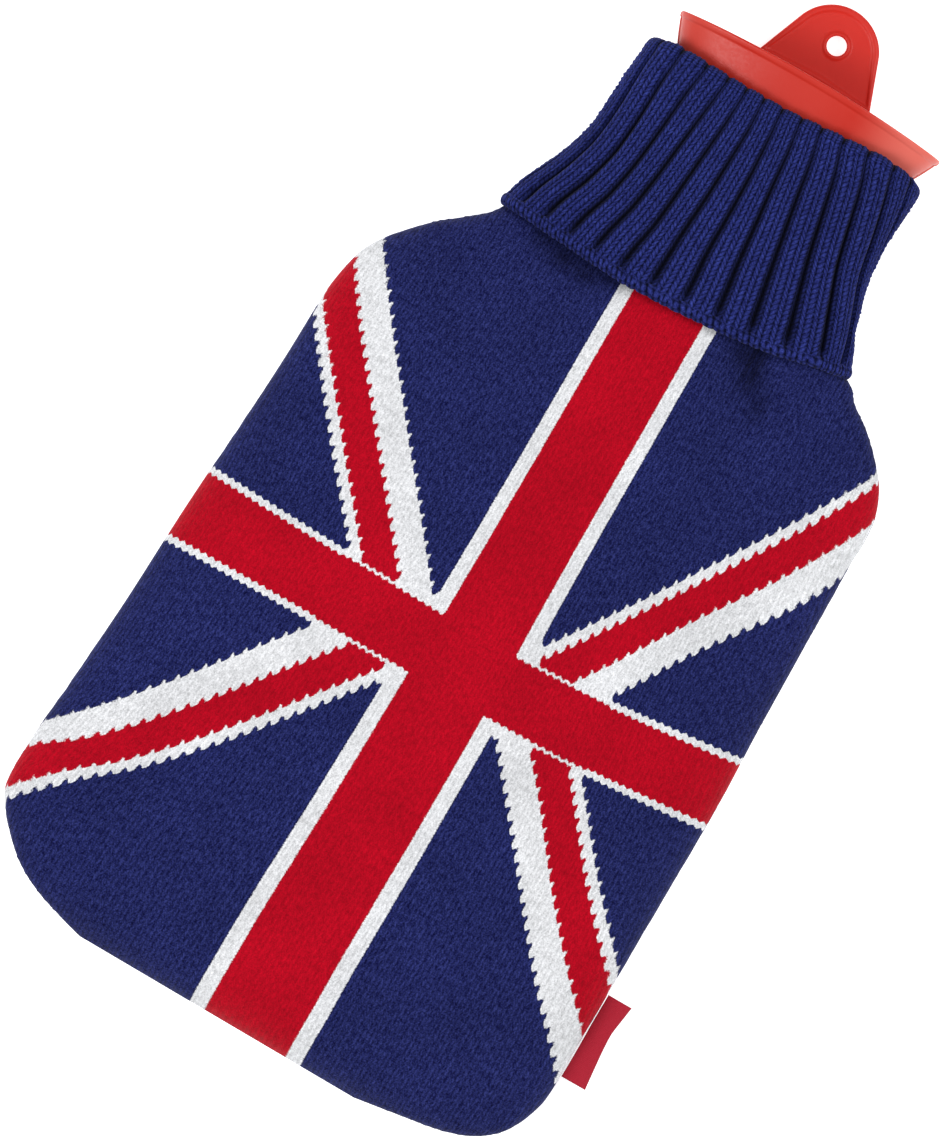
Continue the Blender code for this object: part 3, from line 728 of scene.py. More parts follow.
@dataclass
class KnitPanel:
    """One knitted panel of the cover, with every stitch raised in its mesh.

    The sections are superellipses across the bottle. The cloth's wales and
    courses are laid over them, so its stitches spread and bow as it is
    stretched, and its edge follows the side seam.
    """

    side: Side
    sections: tuple[tuple[float, ...], ...] = (
        # station, left, right, seam, crown, under
        (0.0, 62.0, 44.0, 14.0, 15.7, 12.3),
        (1.5, 68.0, 53.0, 14.0, 20.0, 9.5),
        (3.0, 73.0, 62.0, 14.0, 22.3, 7.8),
        (5.0, 79.5, 73.0, 14.0, 24.4, 6.0),
        (8.0, 86.5, 82.5, 14.0, 26.6, 4.0),
        (12.0, 93.0, 89.0, 14.0, 28.6, 2.1),
        (17.0, 98.7, 93.8, 14.0, 30.3, 0.7),
        (24.0, 105.0, 97.3, 14.0, 32.0, 0.0),
        (31.0, 109.0, 99.3, 14.0, 33.3, 0.0),
        (38.0, 109.7, 99.8, 14.0, 34.3, 0.0),
        (52.0, 109.3, 99.6, 14.0, 35.8, 0.0),
        (71.0, 107.8, 99.5, 14.0, 37.2, 0.0),
        (104.0, 105.8, 99.4, 14.0, 38.0, 0.0),
        (138.0, 104.6, 99.4, 14.0, 38.0, 0.0),
        (171.0, 102.6, 98.2, 14.0, 37.8, 0.0),
        (204.0, 101.0, 97.3, 14.0, 37.2, 0.0),
        (226.0, 100.6, 96.8, 14.0, 36.6, 0.0),
        (238.0, 99.0, 96.5, 14.3, 36.1, 0.0),
        (245.0, 97.0, 96.8, 14.8, 35.8, 0.0),
        (252.0, 93.0, 96.3, 15.4, 35.5, 0.0),
        (258.0, 88.0, 94.6, 16.0, 35.2, 0.4),
        (264.5, 81.8, 91.4, 16.9, 35.0, 1.2),
        (271.0, 74.0, 86.0, 17.8, 35.0, 2.6),
        (278.0, 66.0, 78.6, 18.9, 35.2, 4.2),
        (284.0, 62.3, 70.2, 19.7, 35.6, 5.2),
        (288.0, 59.8, 66.8, 20.3, 35.8, 5.5),
        (290.3, 58.4, 61.4, 20.6, 36.0, 5.6),
        (292.5, 57.0, 58.2, 20.8, 36.2, 5.7),
        (296.0, 55.0, 56.0, 21.0, 36.4, 5.8),
        (301.0, 52.0, 52.5, 21.3, 36.8, 5.8),
    )
    hollows: tuple[tuple[float, ...], ...] = (
        # x, station, reach across, reach along, depth: where the neck draws the front in
        (34.0, 277.0, 6.0, 17.0, 2.2),
        (34.8, 279.0, 1.7, 12.0, 2.2),
        (-35.0, 281.0, 13.0, 7.0, 2.4),
    )
    cloth: tuple[tuple[float, ...], ...] = (
        # course, its stations at the left, the middle and the right, the width of a
        # wale at the left, the middle and the right, the stripe's middle, and how
        # fast the wales widen towards the right seam
        (96.0, 306.5, 307.8, 325.9, 2.72, 2.56, 2.62, 0.5, 0.000),
        (80.0, 279.2, 280.1, 296.0, 2.74, 2.57, 2.64, 0.7, 0.000),
        (60.0, 245.2, 245.4, 258.7, 2.78, 2.59, 2.65, 1.1, 0.000),
        (44.0, 217.9, 217.7, 228.9, 2.85, 2.60, 2.64, 1.5, 0.015),
        (34.0, 200.9, 200.3, 210.2, 2.86, 2.62, 2.61, 1.65, 0.038),
        (24.0, 183.9, 183.0, 191.6, 2.87, 2.64, 2.58, 1.8, 0.045),
        (8.0, 156.7, 155.3, 161.7, 2.80, 2.72, 2.57, 2.0, 0.035),
        (-8.0, 129.0, 130.3, 135.5, 2.80, 2.85, 2.60, 2.3, 0.030),
        (-28.0, 91.7, 94.4, 98.2, 2.84, 2.93, 2.70, 2.2, 0.027),
        (-46.0, 58.1, 61.5, 64.6, 3.03, 3.00, 2.83, 1.8, 0.028),
        (-53.0, 48.2, 48.3, 51.7, 3.12, 3.03, 2.88, 1.6, 0.027),
        (-60.0, 35.5, 34.8, 38.3, 3.20, 3.05, 2.93, 1.5, 0.016),
        (-66.0, 24.5, 23.6, 27.2, 3.22, 3.07, 2.95, 1.6, 0.008),
        (-70.0, 17.0, 16.4, 19.4, 3.22, 3.08, 2.95, 1.7, 0.005),
        (-73.0, 11.5, 11.6, 13.6, 3.22, 3.08, 2.95, 1.7, 0.004),
        (-76.0, 6.6, 7.0, 8.4, 3.22, 3.08, 2.95, 1.8, 0.003),
        (-79.0, 2.8, 3.1, 4.2, 3.22, 3.08, 2.95, 1.8, 0.002),
        (-82.0, -0.2, 0.2, 1.0, 3.22, 3.08, 2.95, 1.8, 0.001),
        (-85.0, -3.0, -2.0, -1.5, 3.22, 3.08, 2.95, 1.8, 0.000),
    )
    shades: tuple[tuple[float, ...], ...] = (
        # x, station, reach across, reach along, share: where folds keep the light out
        (34.8, 283.0, 3.0, 10.0, 0.6),
        (30.0, 279.0, 5.0, 5.0, 0.58),
        (37.0, 273.0, 4.5, 6.0, 0.5),
        (43.0, 266.5, 4.0, 6.0, 0.44),
        (-47.0, 278.5, 5.0, 4.0, 0.5),
        (-38.0, 276.5, 5.0, 4.2, 0.65),
        (-29.0, 275.5, 5.0, 3.8, 0.55),
        (-20.0, 277.5, 7.0, 2.8, 0.45),
    )
    hem_shade: float = 0.5  # share of the light that is lost just below the polo neck
    hem_shade_mm: float = 2.4
    middle_wales: tuple[float, float] = (7.0, 16.0)  # wales left and right that have the middle's width
    widening_from: float = 22.0  # wale from which those on the right widen
    side_share: float = 0.45  # share of the cloth's fall at the sides that its wales take up
    side_stations: tuple[float, float] = (12.0, 28.0)  # below the first of them they take all of it up
    left_wales: float = 33.0  # where the left stations of the cloth table are read
    right_wales: float = 32.0
    last_wale: int = 47
    last_course: int = 96
    first_course: int = -85
    front_detail: tuple[int, int] = (5, 31)  # wales each side with four points to a wale
    back_detail: tuple[int, int] = (16, 37)
    foot_courses: int = -74  # below it, the rows of points are closer
    seen_courses: int = 82  # above it, the polo neck covers the cloth
    seam_band: float = 1.5  # height of the upright band beside the seam
    seam_lip: float = 0.9  # how far the edge turns in, inside the seam
    seam_gap: float = 0.15  # half the gap between the two panels
    back_flatness: float = 1.12  # over 1, which levels the back across its middle
    row_steps: tuple[float, float, float] = (0.25, 0.5, 1.0)  # courses to a row of points, foot first
    relief: float = 0.28
    sunk: float = 0.6  # share of the relief that lies below the section, on the front
    least_face: float = 0.02  # square millimetres; smaller ones lie folded away at an edge
    uneven: float = 0.3  # spread of the stitches' heights
    wander: float = 0.02  # spread of the wales' steps aside, from one row of points to the next
    wander_share: float = 0.25  # share of it that is left in the cloth
    seed: int = 7
    uv_shift: float = 0.9  # keeps the UV map's numbers positive
    pulled_share: float = 0.92  # share of white that is left in a stitch between two red ones
    bold_line: float = 2.0  # how much more a line of single white stitches shows beside navy
    line_course: float = 7.5  # middle of that line, above and below the band
    line_reach: float = 1.6
    line_straight: float = 0.35  # share of the stitches' rise that the line pulls straight
    table_rows: int = 603  # of the section tables
    table_columns: int = 321

    def __post_init__(self) -> None:
        """Work out the section tables."""
        self.tables = self.section_table()

    @property
    def name(self) -> str:
        """The piece's name."""
        return f"{self.side.value}_panel"

    @property
    def facing(self) -> float:
        """1 for the front, which looks up, and -1 for the back."""
        return 1.0 if self.side is Side.FRONT else -1.0

    @property
    def lip(self) -> float:
        """Height of the panel's edge, inside the seam."""
        return self.sections[0][3] + self.facing * self.seam_gap

    def section_table(self) -> tuple[Array, Array, Array, Array]:
        """Work the panel's sections out as tables of equal steps.

        Returns:
            The stations, the length of cloth at every step across, and x and z
            there. A section runs from the lip inside the left seam, up the
            band beside the seam, over the panel and down to the right lip. Its
            length counts only a share of each rise and fall, as the cloth is
            stretched most where it turns down at the sides.
        """
        station, left, right, seam, crown, under = columns(self.sections)
        rows = np.linspace(station[0], station[-1], self.table_rows)
        values = (left, right, seam, crown, under)
        left, right, seam, crown, under = (eased(rows, station, v)[:, None] for v in values)
        turn = np.linspace(0.0, math.pi, RING_STEPS // 2 + 1)
        across = -np.sign(np.cos(turn)) * np.abs(np.cos(turn)) ** (2.0 / ROUNDNESS)
        rise = np.abs(np.sin(turn)) ** (2.0 / ROUNDNESS)
        rise[[0, -1]] = 0.0
        x = np.where(across < 0.0, across * left, across * right)
        base = seam + self.facing * self.seam_band
        edge = seam + self.facing * self.seam_gap
        if self.side is Side.FRONT:
            z = base + np.maximum(crown - base, 0.0) * rise
            for bell in bells(x, rows[:, None], self.hollows):
                z = z - bell * rise
        else:
            z = base - np.maximum(base - under, 0.0) * np.minimum(1.0, self.back_flatness * rise)
        lip_left, lip_right = -left + self.seam_lip, right - self.seam_lip
        x = np.concatenate([lip_left, -left, x, right, lip_right], axis=1)
        z = np.concatenate([edge, edge, z, edge, edge], axis=1)
        taken = np.interp(rows, self.side_stations, (1.0, self.side_share))[:, None]
        run = np.cumsum(np.hypot(np.diff(x, axis=1), taken * np.diff(z, axis=1)), axis=1)
        run = np.concatenate([np.zeros((len(rows), 1)), run], axis=1)
        middle = np.array([np.interp(0.0, *section) for section in zip(x[:, 2:-2], run[:, 2:-2])])
        run = run - middle[:, None]
        share = np.linspace(-1.0, 1.0, self.table_columns)
        length = np.where(share < 0.0, share * -run[:, :1], share * run[:, -1:])
        out_x, out_z = (np.array([np.interp(*row) for row in zip(length, run, out)]) for out in (x, z))
        return rows, length, out_x, out_z

    def cloth_points(self, wale: Array, course: Array) -> Array:
        """Lay wales and courses on the sections.

        The station of a course is a parabola of the wale on each side of the
        middle, which runs on straight past the table's sides. The length of
        cloth from the middle is the sum of the wales' widths, and a square of
        the wales past a given one on the right.

        Args:
            wale: wale of each point, a grid.
            course: course of each point.

        Returns:
            Points in millimetres, with the station as their second number.
        """
        at, *values = columns(self.cloth)
        low, mid, high, left_w, mid_w, right_w, centre, widening = (eased(course, at, v) for v in values)
        reach = np.where(wale < 0.0, -wale / self.left_wales, wale / self.right_wales)
        bow = np.where(reach < 1.0, reach**2, 2.0 * reach - 1.0)
        station = mid + np.where(wale < 0.0, low - mid, high - mid) * bow
        inner = np.clip(wale, -self.middle_wales[0], self.middle_wales[1])
        length = centre + inner * mid_w + (wale - inner) * np.where(wale < 0.0, left_w, right_w)
        length = length + widening * np.maximum(wale - self.widening_from, 0.0) ** 2
        return self.on_sections(station, length)

    def on_sections(self, station: Array, length: Array) -> Array:
        """Read points off the section tables, each straight between four entries.

        Below the first station the cloth turns under, down to its lip.

        Args:
            station: station of each point.
            length: length of cloth from the middle to it.

        Returns:
            Points in millimetres, kept within the panel's edges.
        """
        rows, lengths, table_x, table_z = self.tables
        row = np.clip(station, rows[0], rows[-1]) / rows[-1] * (len(rows) - 1)
        r0 = np.clip(np.floor(row).astype(int), 0, len(rows) - 2)
        rt = row - r0
        ends = [lengths[r0, i] * (1.0 - rt) + lengths[r0 + 1, i] * rt for i in (0, -1)]
        share = np.clip(np.where(length < 0.0, -length / ends[0], length / ends[1]), -1.0, 1.0)
        col = (share + 1.0) / 2.0 * (self.table_columns - 1)
        c0 = np.clip(np.floor(col).astype(int), 0, self.table_columns - 2)
        ct = col - c0
        x, z = (
            (t[r0, c0] * (1 - ct) + t[r0, c0 + 1] * ct) * (1 - rt)
            + (t[r0 + 1, c0] * (1 - ct) + t[r0 + 1, c0 + 1] * ct) * rt
            for t in (table_x, table_z)
        )
        out = self.facing * z
        turned = np.maximum(np.minimum(out, self.facing * self.lip), out + np.minimum(station, 0.0))
        z = np.where(station < 0.0, self.facing * turned, z)
        return np.stack([x, np.clip(station, rows[0], rows[-1]), z], axis=-1)

    def grid(self) -> tuple[Array, Array]:
        """Choose where the mesh has its points, closest where the stitches show most.

        Returns:
            The wales of its columns and the courses of its rows.
        """
        wales = np.arange(-self.last_wale, self.last_wale)
        out = np.abs(wales + 0.5)
        detail = self.front_detail if self.side is Side.FRONT else self.back_detail
        fine = (out > detail[0]) & (out < detail[1])
        quarters = np.arange(4) / 4.0
        wale = np.concatenate([w + (quarters if f else quarters[::2]) for w, f in zip(wales, fine)])
        ends = (self.first_course, self.foot_courses, self.seen_courses, self.last_course + 1)
        spans = zip(ends[:-1], ends[1:], self.row_steps)
        return np.append(wale, self.last_wale), np.concatenate([np.arange(*span) for span in spans])

    def build(self) -> bpy.types.Object:
        """Build the panel: its mesh, its UV map and the shares of yarn at its points.

        Each point is lifted along the cloth's normal by its stitch's height.

        Returns:
            The panel.
        """
        wale, course = self.grid()
        in_wale = wale % 1.0
        wale_at, course_at = np.meshgrid(wale, course)
        beside_line = (np.abs(course) - self.line_course) / self.line_reach
        straight = 1.0 - self.line_straight * np.exp(-(beside_line**2))
        course_at = course_at + straight[:, None] * leg_slant(in_wale)[None, :]
        rng = np.random.default_rng(self.seed)
        wander = rng.normal(0.0, self.wander, (len(course), 1)).cumsum(axis=0)
        wander = wander - np.linspace(0.0, 1.0, len(course))[:, None] * wander[-1]
        points = self.cloth_points(wale_at + self.wander_share * wander, course_at)
        uneven = rng.normal(0.0, self.uneven, points.shape[:2])
        height = stitch_height(in_wale[None, :], (course % 1.0)[:, None]) * (1.0 + uneven)
        lift = height - self.sunk if self.side is Side.FRONT else 1.0 - height
        above_band = np.abs(points[..., 2] - self.sections[0][3]) / self.seam_band - 1.0
        lift = self.relief * lift * np.clip(above_band, 0.0, 1.0)
        points = points + normals_of(points) * lift[..., None]
        world = place(*np.moveaxis(points, -1, 0))
        faces = sizeable(world, grid_faces(*points.shape[:2]), self.least_face)
        uv = np.stack([wale_at, course_at], axis=-1) / UV_CELLS + self.uv_shift
        if self.side is Side.FRONT:
            # painted shade in the folds and just below the polo neck's hem
            marks = {"yarn": self.yarn_shares(wale, course), "painted_shade": self.painted_shade(points)}
            panel = build_mesh(self.name, world, faces, uv, marks)
        else:
            panel = build_mesh(self.name, world, faces[:, ::-1], uv)
        self.dress(panel)
        return panel

    def painted_shade(self, points: Array) -> Array:
        """Painted shade: how far each point lies out of the light, in a fold or by the neck's hem.

        Soft round spots of the table, and a shade that falls off with the
        distance below the hem as a bell curve does.

        Args:
            points: the panel's points, in millimetres with the station second.

        Returns:
            A share for each point.
        """
        x, station = points[..., 0], points[..., 1]
        edge_x, _, hem = columns(PoloNeck.edges)
        below = np.maximum(np.interp(x, edge_x, hem) - station, 0.0) / self.hem_shade_mm
        dark = self.hem_shade * np.exp(-(below**2))
        for bell in bells(x, station, self.shades):
            dark = 1.0 - (1.0 - dark) * (1.0 - bell)
        return dark

    def yarn_shares(self, wale: Array, course: Array) -> Array:
        """How much of each yarn meets at every point, as a colour.

        A point's share of a yarn is that of the four quads round it whose
        stitch has it. A white stitch between two red ones is pulled thin, and
        one between red and navy stands out.

        Args:
            wale: the grid's wales.
            course: the grid's courses.

        Returns:
            Navy, red and white shares and an alpha of 1, for each point.
        """
        mid_wale = np.floor((wale[:-1] + wale[1:]) / 2.0).astype(int)
        mid_course = np.floor((course[:-1] + course[1:]) / 2.0).astype(int)
        flag = Flag()
        across, up = np.meshgrid(mid_wale, mid_course)
        yarn = flag.yarn(across, up)
        below, above = flag.yarn(across, up - 1), flag.yarn(across, up + 1)
        pulled = (yarn == Yarn.WHITE) & (below == Yarn.RED) & (above == Yarn.RED)
        least, most = np.minimum(below, above), np.maximum(below, above)
        edged = (yarn == Yarn.WHITE) & (least == Yarn.NAVY) & (most == Yarn.RED)
        share = np.eye(len(Yarn))[yarn]
        share[pulled] = (0.0, 1.0 - self.pulled_share, self.pulled_share)
        share[edged] *= self.bold_line
        share = np.pad(share, ((1, 1), (1, 1), (0, 0)), mode="edge")
        share = (share[1:, 1:] + share[:-1, 1:] + share[1:, :-1] + share[:-1, :-1]) / 4.0
        white = np.minimum(share[..., 2:], 1.0)
        others = share[..., :2]
        others = others * (1.0 - white) / np.maximum(others.sum(axis=2, keepdims=True), TINY)
        return np.concatenate([others, white, np.ones_like(white)], axis=2)

    def dress(self, panel: bpy.types.Object) -> None:
        """Give the panel its knit, and say what it is.

        Args:
            panel: the panel's mesh object.
        """
        finish = FLAG_KNIT if self.side is Side.FRONT else NAVY_KNIT
        panel.data.materials.append(MATERIALS[finish.name])
        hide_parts(f"cover_{self.side.value}")
        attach(panel, "root")


# ---------------------------------------------------------------- polo neck


@dataclass
class PoloNeck:
    """The rib-knit polo neck, turned over outwards, with its cast-off hem.

    Each ring is a superellipse. Its points are spaced from the grooves: a rib
    has two wales of stitches on its crest, and the grooves take up the rest.
    """

    outer: tuple[tuple[float, ...], ...] = (
        # level, left, right, depth, relief, share of a rib that its crest takes
        (0.00, 65.9, 64.7, 20.8, 0.2, 0.7),
        (0.02, 65.4, 64.2, 20.75, 0.45, 0.7),
        (0.09, 64.0, 62.5, 20.65, 1.0, 0.7),
        (0.13, 63.1, 61.6, 20.6, 1.0, 0.705),
        (0.22, 60.3, 58.9, 20.5, 1.0, 0.72),
        (0.32, 57.2, 57.1, 20.5, 1.0, 0.735),
        (0.43, 54.4, 55.0, 20.6, 1.0, 0.75),
        (0.56, 52.4, 53.5, 20.9, 1.0, 0.765),
        (0.70, 51.9, 53.0, 21.2, 0.95, 0.775),
        (0.86, 51.3, 53.5, 21.5, 0.8, 0.785),
        (0.95, 50.8, 53.8, 21.6, 0.55, 0.785),
        (1.00, 50.6, 53.9, 21.6, 0.32, 0.79),
    )
    inner: tuple[tuple[float, ...], ...] = (
        # station, left, right, depth, centre
        (338.0, 45.0, 47.3, 14.9, 21.6),
        (319.0, 47.4, 48.8, 14.6, 21.5),
        (301.3, 49.8, 50.3, 13.3, 21.3),
    )
    edges: tuple[tuple[float, ...], ...] = (
        # x, station of the fold, station of the hem
        (-66.0, 355.8, 283.3),
        (-51.0, 355.8, 282.4),
        (-47.0, 356.4, 282.1),
        (-42.0, 357.2, 281.8),
        (-18.0, 356.6, 280.4),
        (2.0, 356.8, 281.2),
        (22.0, 358.6, 283.0),
        (38.0, 359.8, 285.3),
        (46.0, 359.2, 287.2),
        (50.0, 358.6, 288.2),
        (53.5, 357.4, 289.0),
        (66.0, 357.4, 291.0),
    )
    grooves: tuple[tuple[float, ...], ...] = (
        # station, then x of each groove that the front shows
        (354.0, -47.3, -39.0, -29.2, -20.8, -13.7, -7.0, 0.0, 7.2, 14.6, 22.8, 32.2, 42.2),
        (344.3, -48.2, -40.0, -30.7, -21.9, -14.0, -6.4, 1.0, 8.7, 16.9, 26.0, 35.8, 45.3),
        (331.0, -48.5, -40.3, -31.8, -23.4, -15.0, -6.7, 1.9, 10.1, 19.2, 29.2, 39.2, 48.6),
        (317.7, -49.6, -41.2, -33.1, -24.8, -16.0, -7.1, 2.3, 11.7, 21.7, 32.2, 42.6, 51.2),
        (304.3, -53.2, -44.4, -35.4, -26.7, -17.1, -7.9, 2.5, 13.2, 24.3, 35.8, 47.2, 55.6),
        (291.0, -58.3, -49.3, -39.4, -29.9, -19.4, -8.2, 3.5, 15.1, 27.0, 39.5, 51.8, 59.6),
        (281.0, -61.0, -51.6, -41.4, -31.4, -20.4, -8.6, 3.9, 16.2, 28.9, 42.0, 54.6, 61.5),
    )
    rib: tuple[tuple[float, float], ...] = (
        # wale of each point across a rib, and how far it lies down in the groove
        (-0.5, 1.0),
        (-0.3, 0.84),
        (-0.15, 0.52),
        (0.0, 0.24),
        (0.25, 0.1),
        (0.5, 0.03),
        (0.75, 0.0),
        (1.0, 0.02),
        (1.25, 0.0),
        (1.5, 0.03),
        (1.75, 0.1),
        (2.0, 0.24),
        (2.15, 0.52),
        (2.3, 0.84),
    )
    ribs: int = 30
    rib_wales: float = 3.0  # wales from one groove to the next, with the one that is drawn in
    crest_points: int = 9  # how many of the points above are on the crest
    flank_shares: tuple[float, float] = (0.42, 0.74)  # of the way from a groove up to a crest
    crest_sunk: float = 0.5  # how far down the flanks the stitches slant
    flank_stitch: float = 0.4  # height of a stitch on a flank, beside one on a crest
    groove_depth: tuple[float, float] = (1.9, 2.7)  # of a narrow and of a wide groove
    groove_width: tuple[float, float] = (1.6, 4.5)
    groove_steps: int = 400
    hem_station: float = 283.0  # of the hem as a whole, on which the rings are spaced
    fold_station: float = 357.0
    fold_radius: float = 3.4
    fold_steps: int = 10
    fold_flatter: float = 0.35  # share of the grooves that is lost over the fold
    inner_raised: tuple[float, float, float] = (-0.4, -0.4, 0.0)  # in the rows of inner: share of a groove
    courses: int = 41
    relief: float = 0.55
    uneven: float = 0.25  # spread of the stitches' heights
    seed: int = 11
    slant_free: tuple[float, float] = (0.02, 0.03)  # share of the height in which slants end, at hem and fold
    bead_up: float = 2.3  # half-height of the cast-off edge
    bead_out: float = 1.75  # its half-thickness
    bead_loops: int = 3  # loops of the cast-off edge to a rib
    bead_steps: int = 20
    loop_columns: int = 12
    bead_lean: float = 0.17  # loops that the twist runs on in a radian round the bead
    bead_swell: float = 0.6  # power that makes the loops plump and the gaps between them narrow
    bead_thick: tuple[float, float] = (0.66, 0.42)  # thickness in a gap, and what a plump loop adds
    bead_high: tuple[float, float] = (0.8, 0.22)  # the same for the height
    bead_raised: float = 0.2  # how far its middle is above the hem, in its half-heights
    bead_uneven: tuple[float, float] = (0.13, 0.1)  # spread of the loops' sizes and places
    bead_course: tuple[float, float] = (-3.5, 0.9)  # course along its middle, and half of those round it
    bead_painted_shade: tuple[float, float, float] = (0.8, 1.2, 0.7)  # painted shade: in a gap, what a loop takes off, and most
    bead_seed: int = 5
    least_painted_shade: float = 0.6  # how dark the painted shade in a groove is where it is shallow, at the fold
    painted_shade: tuple[float, float] = (1.4, 0.2)  # painted shade: how fast a groove darkens, and how far down it starts
    cloth_up: float = 0.4  # start of the ribs above the hem, inside the bead
    weld_mm: float = 0.01
    uv_shift: float = 0.1

    def groove_shares(self, station: float, left: float, right: float, depth: float) -> Array:
        """Places of all grooves round a ring.

        Those of the front are read from their table, and the others are
        spaced evenly over the sides and the back.

        Args:
            station: station of the ring.
            left: its half-width to the left.
            right: its half-width to the right.
            depth: its half-depth.

        Returns:
            Shares of the ring's length, rising from the front's first groove.
        """
        at, *grooves = columns(self.grooves)
        x = [float(eased(station, at, groove)) for groove in grooves]
        fine = np.linspace(0.0, 0.5, self.groove_steps)
        ring_x, _ = oval(*np.array([[left], [right], [depth]]), fine[None, :], ROUNDNESS)
        front = np.interp(x, ring_x[0], fine)
        rest = np.linspace(front[-1], front[0] + 1.0, self.ribs - len(front) + 2)[1:-1]
        return np.concatenate([front, rest])

    def rib_points(self, grooves: Array, perimeter: Array, crest: Array) -> tuple[Array, Array]:
        """Spread the points of each rib between its two grooves, on every ring.

        Args:
            grooves: shares of the grooves, a row for each ring.
            perimeter: length of each ring in millimetres.
            crest: share of a rib that its crest takes, for each ring.

        Returns:
            Shares of the points round each ring, and the width in millimetres
            of the groove that each of them is nearest to.
        """
        after = np.concatenate([grooves[:, 1:], grooves[:, :1] + 1.0], axis=1)
        pitch = after - grooves
        crest = crest[:, None] * pitch
        flank = (pitch - crest) / 2.0
        steps = self.crest_points - 1
        parts = [grooves, *(grooves + share * flank for share in self.flank_shares)]
        parts += [grooves + flank + crest * step / steps for step in range(self.crest_points)]
        parts += [after - share * flank for share in self.flank_shares[::-1]]
        halves = [flank + np.roll(flank, turn, axis=1) for turn in (1, -1)]
        width = np.stack(np.repeat(halves, len(parts) // 2, axis=0), axis=-1)
        shares = np.stack(parts, axis=-1)
        return shares.reshape(len(grooves), -1), width.reshape(len(grooves), -1) * perimeter[:, None]

    def build(self) -> bpy.types.Object:
        """Build the neck: its cast-off edge, its ribs, the fold and the inner layer.

        A ring's points lie on its superellipse, and each is drawn inward by
        the depth of its groove and by what its stitch lacks in height.

        Returns:
            The polo neck.
        """
        wale, sunk = np.tile(np.array(self.rib).T, self.ribs)
        in_wale, on_crest = wale % 1.0, (sunk < self.crest_sunk)[None, :]
        level = np.linspace(0.0, 1.0, 2 * self.courses + 1)
        course = np.arange(len(level)) / 2.0
        at, *values = columns(self.outer)
        left, right, depth, relief, crest = (eased(level, at, v) for v in values)
        height = self.fold_station - self.fold_radius - self.hem_station
        rings_at = zip(self.hem_station + height * level, left, right, depth)
        grooves = np.array([self.groove_shares(*ring) for ring in rings_at])
        turn = np.linspace(0.0, 1.0, RING_STEPS // 2 + 1)[None, :]
        ring_x, ring_z = oval(left, right, depth, turn, ROUNDNESS)
        perimeter = np.hypot(np.diff(ring_x, axis=1), np.diff(ring_z, axis=1)).sum(axis=1)
        shares, width = self.rib_points(grooves, perimeter, crest)
        x, z = oval(left, right, depth, shares, ROUNDNESS)
        stitch = stitch_height(in_wale[None, :], (course % 1.0)[:, None])
        uneven = np.random.default_rng(self.seed).normal(0.0, self.uneven, stitch.shape)
        stitch = stitch * (1.0 + uneven) * np.where(on_crest, 1.0, self.flank_stitch)
        deep = np.interp(width, self.groove_width, self.groove_depth)
        inward = deep * sunk[None, :] * relief[:, None] + self.relief * (1.0 - stitch)
        edge_x, fold_at, hem_at = columns(self.edges)
        hem = np.interp(x, edge_x, hem_at) + self.cloth_up
        fold = np.interp(x, edge_x, fold_at) - self.fold_radius
        up = level[:, None]
        shift = height / self.courses * leg_slant(in_wale)[None, :] * on_crest
        for share, free in zip((1.0 - up, up), self.slant_free[::-1]):
            shift = shift * np.clip(share / free, 0.0, 1.0)
        outer = self.ring(x, z, (depth, left, right), inward, hem + (fold - hem) * up + shift)
        over = self.folded((x[-1:], z[-1:]), (depth[-1:], left[-1:], right[-1:]), fold[-1:], inward[-1:])
        points = np.concatenate([outer, *over, self.inside(shares[-1:], inward[-1:])])
        extra = len(points) - len(course)
        courses_at = np.concatenate([course, course[-1] + 1.0 + np.arange(extra)])
        shown = np.concatenate([relief, np.ones(extra)])[:, None]
        # painted shade: a groove's yarn is darker the deeper the groove
        darkens, free = self.painted_shade
        painted_shade = np.clip(darkens * sunk - free, 0.0, 1.0)[None, :] * np.maximum(shown, self.least_painted_shade)
        number = np.repeat(np.arange(self.ribs), len(self.rib)) * self.rib_wales + wale
        rise = courses_at[:, None] + leg_slant(in_wale) * on_crest
        uv = np.stack(np.broadcast_arrays(number[None, :], rise), axis=-1)
        # One column more than the ring has, so that its UV map runs on past the join.
        points = np.concatenate([points, points[:, :1]], axis=1)
        uv = np.concatenate([uv, uv[:, :1] + (self.rib_wales * self.ribs, 0.0)], axis=1)
        painted_shade = np.concatenate([painted_shade, painted_shade[:, :1]], axis=1)
        return self.finish((points, uv, painted_shade), self.cast_off(depth[0], left[0], right[0], grooves[0]))

    def folded(
        self, outline: tuple[Array, Array], sizes: tuple[Array, Array, Array], fold: Array, inward: Array
    ) -> list[Array]:
        """Carry the top ring over the fold, round half a circle.

        Args:
            outline: x and z of the top ring.
            sizes: height of its middle, and its half-widths.
            fold: station at which each of its points starts to turn.
            inward: how far each is drawn inward.

        Returns:
            The fold's rings.
        """
        rings = []
        for step in range(1, self.fold_steps + 1):
            angle = math.pi * step / self.fold_steps
            radius = self.fold_radius - inward * (1.0 - self.fold_flatter * step / self.fold_steps)
            inset = self.fold_radius - radius * math.cos(angle)
            rings.append(self.ring(*outline, sizes, inset, fold + radius * math.sin(angle)))
        return rings

    def inside(self, shares: Array, inward: Array) -> Array:
        """The inner layer, down from the fold, with its ribs towards the bottle.

        Args:
            shares: places of the points round the top ring.
            inward: how far each of them is drawn inward there.

        Returns:
            The layer's rings.
        """
        station, left, right, depth, centre = columns(self.inner)[:, ::-1]
        x, z = oval(left, right, depth, np.repeat(shares, len(station), axis=0), ROUNDNESS)
        raised = inward * np.array(self.inner_raised)[:, None]
        return self.ring(x, z, (centre, left, right), raised, station[:, None], depth)

